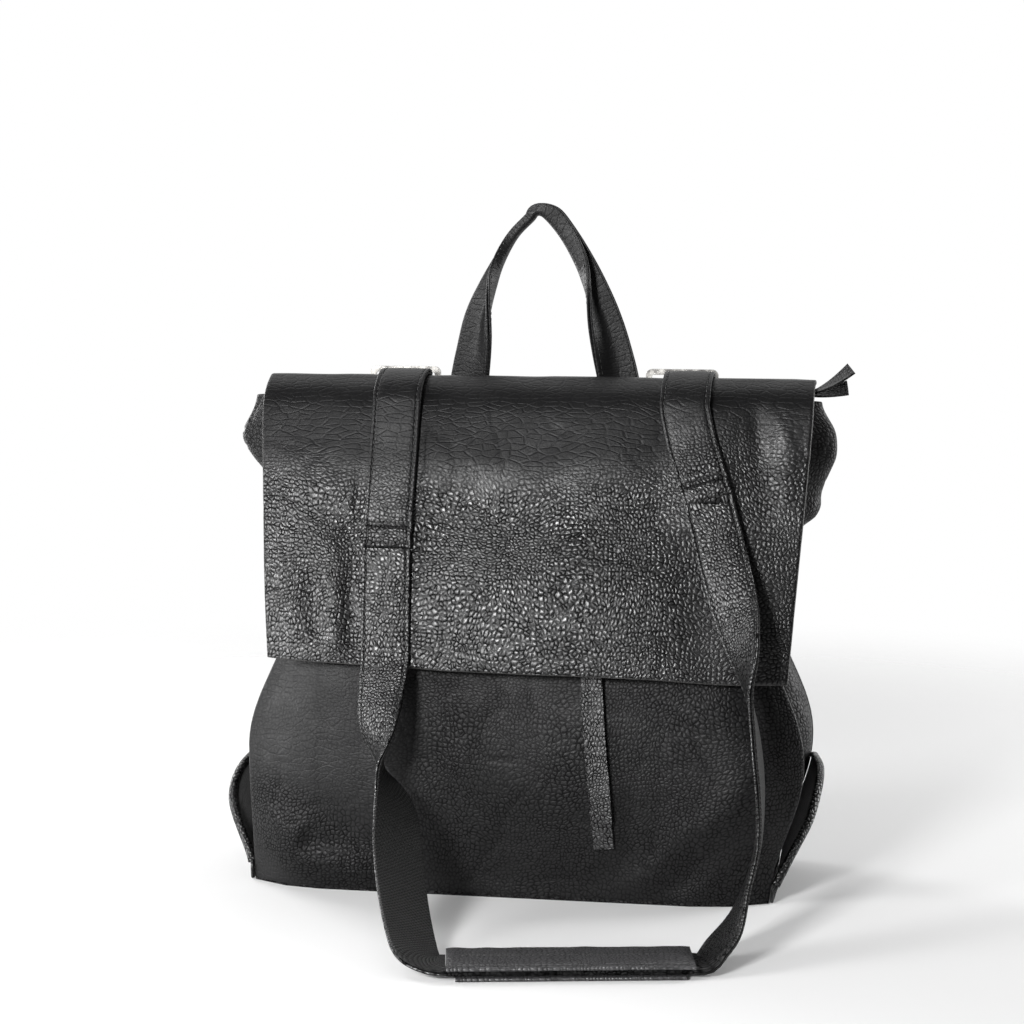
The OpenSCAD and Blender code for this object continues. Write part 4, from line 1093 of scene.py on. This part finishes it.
def upper_stations(side):
    """From the strap's foot up the back, through the ring, over the fold to the sewn joint."""
    rows = []
    foot = STRAP_FOOT_Z / BAG_H
    # Height as a share of the bag's, and how far the strap stands off the bag's own depth there
    for share, stand in (
        (foot, 4.6), (0.2, 4.6), (0.33, 5), (0.5, 7), (0.67, 10), (0.79, 14.5), (0.87, 21)
    ):
        z = share * BAG_H
        rows.append((back_x(side, z), float(depth(z)) + stand, z))
    # Through the ring
    for dy, dz in ((10, -4), (6, 7), (0, 12.5), (-6, 15)):
        rows.append((side * RING_X, RING_Y + dy, RING_LOW + dz))
    # Over the fold and down the front
    for phi in (-46, -34, -CREASE):
        y, z = fold_point(phi, OUT_MID + (TURN_LIFT if phi < -CREASE - 1 else 0))
        rows.append((mix(top_x(side), side * RING_X, (-phi - CREASE) / 60), float(y), float(z)))
    for phi in np.linspace(-5, 78, 7):
        y, z = fold_point(phi, OUT_MID)
        rows.append((top_x(side), float(y), float(z)))
    for share in (0.25, 0.5, 0.75, 1):
        z = mix(CROWN_Z, joint_z(side), share)
        x = mix(top_x(side), joint_x(side), share)
        rows.append((x, float(face_y(z, OUT_MID)), z + (SLIT if share == 1 else 0)))
    return [(*row, 1, 0, 0) for row in rows]


def on_face(x, z, lift, hint):
    """Station of a strap that lies on the flap's front, or stands off it by lift."""
    return (x, float(face_y(z, OUT_MID + lift)), z, *hint)


PAD_DIR = np.array([math.cos(PAD_TURN), math.sin(PAD_TURN), 0])
PAD_CUT = np.array([math.sin(PAD_TURN), -math.cos(PAD_TURN), 0])
PAD_LOW = 0.2
CORE_Z = PAD_LOW + PAD_T + LAY + STRAP_T / 2
PAD_MID = np.array([PAD_X, -BASE_D / 2 - PAD_REACH, 0])


def pad_end(side):
    """Where a strap enters the shoulder pad."""
    return PAD_MID + side * PAD_DIR * (PAD_L / 2 + 0.4) + [0, 0, CORE_Z]


def from_pad(side, out, back, rise, hint):
    """Station by its shares of the pad's half length, its reach and the hem's height."""
    hem = HEM_LEFT_Z if side < 0 else HEM_RIGHT_Z
    away = np.array([side * out * PAD_L / 2, back * PAD_REACH, rise * hem])
    return (*(pad_end(side) + away), *hint)


def into_pad(side):
    """The last two stations, which turn a strap's edges level with the pad."""
    before = pad_end(side) + side * PAD_DIR * 7 + [0, 0, 0.5]
    return [(*before, *PAD_CUT), (*pad_end(side), *PAD_CUT)]


def lower_stations(side):
    """From the sewn joint down over the hem and forward into the pad, which lies in front."""
    x, z = joint_x(side), joint_z(side)
    if side < 0:
        return [
            on_face(x, z - SLIT, 0, (1, 0, 0)),
            on_face(x + 1, mix(z, HEM_LEFT_Z, 0.5), 0, (1, 0, 0)),
            on_face(x + 2, HEM_LEFT_Z, 0.5, (1, -0.05, 0)),
            on_face(x + 2, 0.78 * HEM_LEFT_Z, 11.6, (0.9, -0.5, 0)),
            on_face(x + 5, 0.61 * HEM_LEFT_Z, 15.7, (0.3, -1, 0)),
            from_pad(side, 0.77, 0.78, 0.43, (-0.5, -0.8, 0.1)),
            from_pad(side, 0.66, 0.6, 0.28, (-1, -0.5, 0.2)),
            from_pad(side, 0.53, 0.4, 0.15, (-1, -0.4, 0.3)),
            from_pad(side, 0.37, 0.18, 0.06, (-0.8, -0.6, 0.25)),
            from_pad(side, 0.24, 0.03, 0.02, (-0.3, -1, 0.1)),
            *into_pad(side),
        ]
    return [
        on_face(x, z - SLIT, 0, (1, 0, 0)),
        on_face(x + 8, z - 28, 1.8, (1, 0.07, 0.3)),
        on_face(x + 17, z - 56, 7.5, (1, -0.3, 0.3)),
        on_face(x + 24, z - 82, 15, (0.7, -0.8, 0.2)),
        on_face(x + 28, HEM_RIGHT_Z, 17, (0.2, -1, 0)),
        on_face(x + 33, 0.79 * HEM_RIGHT_Z, 18.1, (0, -1, 0)),
        from_pad(side, 0.43, 0.6, 0.54, (0, -1, 0.1)),
        from_pad(side, 0.43, 0.45, 0.35, (0.1, -1, 0.5)),
        from_pad(side, 0.34, 0.27, 0.2, (0.4, -0.7, 0.8)),
        from_pad(side, 0.22, 0.12, 0.075, (0.6, -0.8, 0.26)),
        *into_pad(side),
    ]


def strap_layers(name, track, swell, blend, nodes, grain=1.0):
    """A strap's leather and the webbing sewn under it, with a row of stitches at each edge. nodes
    are the solids that each of the two stands for."""
    half, high = STRAP_W / 2, STRAP_T / 2
    section = repeated(band(half, high - STRAP_LEATHER, high, 0.3, 0.5), len(swell))
    tops = section.shape[1] // 2
    inside = np.clip((half - np.abs(section[:, :tops, 0])) / 3, 0, 1)
    section[:, :tops, 1] += swell[:, None] * inside
    piece = Piece(name + "_leather", STRAP, FLESH, THREAD)
    sweep(piece, track, section, grain=grain)
    for line, up in edge_lines(track, half - STITCH_INSET, high - 0.2):
        stitches(piece, line, up, 2)
    show(piece, replaces=nodes[0], blend=blend)
    piece = Piece(name + "_webbing", WEB)
    sweep(piece, track, band(half - 0.2, -high, -high + WEBBING - 0.02))
    show(piece, replaces=nodes[1], blend=blend)


def even(path, pitch):
    """The path again, with its places pitch apart."""
    run = lengths(path[:, :3])
    return read_off(path, run, np.linspace(0, run[-1], int(run[-1] / pitch) + 1))


def straps(side):
    """A strap from its foot to the joint, which bends with the flap, and from there to the pad."""
    word = SIDE_NAME[side]
    track = frames(even(curve(upper_stations(side), 12), 1.2), end_cut=(1, 0, 0))
    left = lengths(track[0][::-1])[::-1]
    # Two rows of stitches press the end in, and it stands up beside them
    swell = -1.4 * bell(left, 1.6, 1.2) - 1.4 * bell(left, 14, 1.3)
    swell += 0.5 * bell(left, 8, 4.5) + 0.5 * bell(left, 24, 9)
    swell += 0.25 * noise(left, 0, 20, 90 + side)
    bold = 0.15 + 0.75 * bell(np.maximum(left, 14), 14, 30)
    leathers = ["strap_upper_" + word, "strap_back_" + word]
    webbings = ["webbing_upper_" + word, "webbing_back_" + word]
    strap_layers("strap_upper_" + word, track, swell, FLAP_BEND, (leathers, webbings), bold)
    path = even(curve(lower_stations(side), 12), 1.4)
    track = frames(path, start_cut=(1, 0, 0), end_cut=PAD_CUT)
    swell = 0.22 * noise(np.arange(len(path)), 0, 14, 94 + side)
    bend = joint_z(side) * MM
    blend = ("flap", "strap_loop", (0, 0, bend), (0, 0, bend - 0.008))
    nodes = (["strap_lower_" + word], ["webbing_lower_" + word])
    strap_layers("strap_lower_" + word, track, swell, blend, nodes)


def pad():
    """Sleeve of leather round the strap where the shoulder carries it: a crowned upper half with
    its stitching, over a flat lower half that shows beyond one end."""
    upper_low = PAD_LOW + PAD_T + 2 * LAY + STRAP_T
    for name, node, low, long, wide, crown in (
        ("pad_upper", "shoulder_pad", upper_low, PAD_L, PAD_W, 1.4),
        ("pad_lower", "pad_backing", PAD_LOW, PAD_L - 10, PAD_W - 1, 0.0),
    ):
        rows = np.linspace(-long / 2, long / 2, 70)
        stations = np.array([(*(PAD_MID + PAD_DIR * r), *-PAD_CUT) for r in rows])
        stations[:, 2] = low
        track = frames(stations)
        groove = 0.35 if crown else 0
        section = band(wide / 2, 0, PAD_T, groove=groove, groove_at=PAD_INSET)
        section = repeated(section, len(rows))
        tops = section.shape[1] // 2
        arch = crown * np.clip(1 - (section[:, :tops, 0] / (wide / 2)) ** 2, 0, 1) ** 0.75
        ripple = 0.35 * noise(rows[:, None], section[:, :tops, 0], 9, 100)
        end = np.clip((long / 2 - np.abs(rows)) / 3, 0, 1)[:, None]
        section[:, :tops, 1] += (arch + ripple * (crown > 0)) * end
        waver = 0.5 * noise(rows, 0, 26, 112)
        section[..., 0] *= (1 + waver / wide)[:, None]
        piece = Piece(name + "_leather", PAD_LIT_LEATHER, FLESH, THREAD)
        sweep(piece, track, section, grain=0.62)
        if crown:
            for line, up in edge_lines(track, wide / 2 - PAD_INSET, PAD_T + 0.25):
                stitches(piece, line, up, 2)
            place, _, face = track
            stitches(piece, (place + face * (PAD_T + crown))[3:-3], face[3:-3], 2)
        show(piece, "strap_loop", [node])


# ---------- handle


def handle():
    """Two layers sewn together, flat at the roots and folded in half along the grip."""
    heights = (0.002, 0.16, 0.36, 0.5, 0.62, 0.73, 0.83, 0.92, 0.98)
    # How far the grip is folded in half at those heights
    closed = (0, 0.02, 0.1, 0.22, 0.38, 0.6, 0.85, 1, 1)
    legs = {
        -1: ((1, 1, 0.93, 0.84, 0.74, 0.61, 0.48, 0.31, 0.12), 0.5),
        1: ((1, 1, 0.93, 0.82, 0.69, 0.54, 0.38, 0.2, 0.04), 0.85),
    }
    y = float(depth(HANDLE_ROOT_Z)) + 5
    high = HANDLE_H - HANDLE_W / 2
    # A station ends with how far it is closed and the share of the width that it has
    leg = {}
    for side, (outs, thin) in legs.items():
        leg[side] = [
            (side * HANDLE_X * q, y, HANDLE_ROOT_Z + high * h, -side, 0, 0, f,
             mix(1, thin, float(ease((h - 0.6) / 0.34))))
            for q, h, f in zip(outs, heights, closed)
        ]
    stations = leg[-1] + [(-3, y, HANDLE_ROOT_Z + high, 0, 0, -1, 1, 0.6)] + leg[1][::-1]
    path = curve(stations, 9)
    track = frames(path)
    turn = np.radians(np.maximum(0.5, 180 * np.clip(path[:, 6], 0, 1)))[:, None]
    radius = 2 * CREASE_W / turn

    def folded(section):
        """The section bent round the grip's crease, as far as each station is closed."""
        w, out = section[None, :, 0], section[None, :, 1]
        part = np.clip((w + CREASE_W) / (2 * CREASE_W), 0, 1) * turn
        before, past = np.minimum(w + CREASE_W, 0), np.maximum(w - CREASE_W, 0)
        across = -CREASE_W + (radius + out) * np.sin(part) + before + past * np.cos(turn)
        across = across * path[:, 7:8]
        return join(across, (radius + out) * np.cos(part) - radius - past * np.sin(turn))

    blend = ("bag", "handle", (0, 0, 0.2425), (0, 0, 0.2525))
    half = HANDLE_W / 2
    for name, low, top, wide in (
        ("handle_outer", 0.08, HANDLE_T, half),
        ("handle_inner", -HANDLE_T, -0.08, half - 0.5),
    ):
        places = band_places(wide, low, top)
        rim = places[places > wide - 3.5]
        fine = np.linspace(wide - 3.5, -wide + 3.5, 15)
        across = np.concatenate([rim, fine, -rim[::-1]])
        piece = Piece(name + "_leather", TRIM, FLESH, THREAD)
        sweep(piece, track, folded(rounded(across, wide, low, top)), grain=0.2)
        surface, sign = (top, 1) if low > 0 else (low, -1)
        place, across_way, face = track
        for at in (-wide + STITCH_INSET, wide - STITCH_INSET):
            line = folded(np.array([(at, surface)]))[:, 0]
            lift = folded(np.array([(at, surface + sign)]))[:, 0] - line
            points = place + across_way * line[:, :1] + face * line[:, 1:]
            stitches(piece, points, across_way * lift[:, :1] + face * lift[:, 1:], 2)
        show(piece, replaces=[name], blend=blend)


def handle_anchors():
    """Patches that sew the handle's roots to the back, swelling towards their tops."""
    piece = Piece("handle_anchor_leather", TRIM, FLESH, THREAD)
    low = HANDLE_ROOT_Z - ANCHOR_H
    for side in (-1, 1):
        z, u = grid(low, HANDLE_ROOT_Z, 24, 20)
        x = side * HANDLE_X + u * (HANDLE_W + 8) / 2
        inner = join(x, depth(z) + LAY + 0.4, z)
        swell = 1.6 * ((z - low) / ANCHOR_H) ** 2
        outer = join(x, inner[..., 1] + LEATHER + swell, z)
        sheet(piece, outer, LEATHER, slots=(0, 1, 0), rim=0.3, inner=inner)
        away = surface_normal(outer)
        for line in (outer[2:-2, 2], outer[2:-2, -3], outer[2], outer[-3]):
            stitches(piece, line, np.broadcast_to(away[5, 5], line.shape), 2)
    show(piece, "bag", ["handle_anchors"])


# ---------- pulls and tabs


def long_pull():
    """The slider's long pull: two raw strips of leather, the under one longer."""
    top = ZIP_Z - PULL_START
    for name, short, wide, low, high, curl, seed in (
        ("front_pull_outer", 16, PULL_W, 0.1, 1.5, 1, 111),
        ("front_pull_inner", 0, PULL_W - 1, -1.4, -0.05, -0.2, 112),
    ):
        fall = np.linspace(0, PULL_L - short, 60)
        z = top - fall * math.cos(PULL_LEAN)
        x = SLIDER_X + (fall + PULL_START) * math.sin(PULL_LEAN)
        rest = 1.6 + CLEAR + 1.4 * (1 - np.clip(np.arange(len(fall)) / 14, 0, 1))
        track = frames(join(x, -(depth(z) + rest), z, math.cos(PULL_LEAN), 0, math.sin(PULL_LEAN)))
        across = np.linspace(wide / 2, -wide / 2, 9)
        bow = 0.5 * (across / (wide / 2)) ** 2 * curl
        section = np.vstack([join(across, high + bow), join(across, low + bow)[::-1]])
        section = repeated(section, len(fall))
        section[..., 0] += 0.4 * noise(fall, 0, 16, seed)[:, None]
        piece = Piece(name + "_leather", PULL_LIT_LEATHER)
        sweep(piece, track, section)
        show(piece, "front_pull", [name])


def top_pull():
    """Two strips at the end of the top zip, splayed: the upper one stands up beyond the flap."""
    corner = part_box("top_pull_leather")[0] / MM
    start, foot = corner[0], corner[2] + 0.8
    for name, rise, side, long, thick, lift in (
        ("top_pull_upper", 15, 1, TOP_PULL_L - 5, 1.3, 0.9),
        ("top_pull_lower", 5, -1, TOP_PULL_L - 7, 1.2, -0.6),
    ):
        t = np.linspace(0, 1, 26)
        z = foot + lift + rise * t**1.5
        track = frames(join(start + long * t, side * 1.5 * t, z, 0, 1, 0.7 * t))
        half = mix(5.0, 6.8, t)[:, None]
        tops = join(np.linspace(1, -1, 9) * half, thick / 2)
        section = np.concatenate([tops, tops[:, ::-1] * [1, -1]], axis=1)
        section[..., 1] += 0.5 * (section[..., 0] / half) ** 2
        piece = Piece(name + "_leather", TRIM)
        sweep(piece, track, section, grain=0.9)
        thing = show(piece, "top_pull", ["top_pull_leather"] if side > 0 else ())
        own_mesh(thing)


def ring_tabs():
    """Tabs sewn to the back, each ending in a loop round the bar of a strap's ring."""
    wide, tab_t, ring_t, ring_wall = STRAP_W + 2, 2, 3, 3.6
    loop_z, foot = RING_LOW + ring_wall / 2, 0.83 * BAG_H
    half_y, half_z = ring_t / 2 + 0.3, ring_wall / 2 + 0.3
    turn = np.linspace(0, 2 * np.pi, 29)[:-1]
    c, s = np.cos(turn), np.sin(turn)
    k = (np.abs(c / (half_y + tab_t)) ** 3 + np.abs(s / (half_z + tab_t)) ** 3) ** (-1 / 3)
    outside = join(c * k, s * k)
    inside = np.clip(outside, (-half_y, -half_z), (half_y, half_z))
    piece = Piece("ring_tab_leather", TRIM, FLESH, THREAD)
    for side in (-1, 1):
        t, u = grid(0, 1, 24, 18)
        z = mix(foot, loop_z - 7, t)
        y = mix(depth(z) + LAY + 0.4, RING_Y - 1, t**3) + tab_t
        outer = join(side * RING_X + u * wide / 2, y, z)
        sheet(piece, outer, tab_t, slots=(0, 1, 0))
        away = surface_normal(outer)
        for line in (np.s_[1:14, 1], np.s_[1:14, -2], np.s_[1, 1:-1], np.s_[13, 1:-1]):
            stitches(piece, outer[line], away[line], 2)
        add_tube(piece, outside, inside, side * RING_X, RING_Y, loop_z, wide)
    show(piece, "bag", ["ring_tabs"])


def add_tube(piece, outside, inside, x, y, z, wide):
    """A leather loop round a bar that lies along X."""
    points, maps = [], []
    number = np.arange(len(outside))
    for ring in (outside, inside):
        for end in (-wide / 2, wide / 2):
            points.append(join(x + end, y + ring[:, 0], z + ring[:, 1]))
            maps.append(join(end, number * 1.0))
    a, b, c, d = (number + k * len(number) for k in range(4))
    a2, b2, c2, d2 = (np.roll(ring, -1) for ring in (a, b, c, d))
    sides = ((a2, b2, b, a), (d, d2, c2, c), (c, c2, a2, a), (b2, d2, d, b))
    piece.add(np.vstack(points), np.vstack(maps), np.vstack([join(*quad) for quad in sides]), 0)


front_panel()
back_panel()
for side in (-1, 1):
    gusset(side)
    side_pocket(side)
    straps(side)
flap()
pad()
handle()
handle_anchors()
long_pull()
top_pull()
ring_tabs()

bpy.context.view_layer.update()
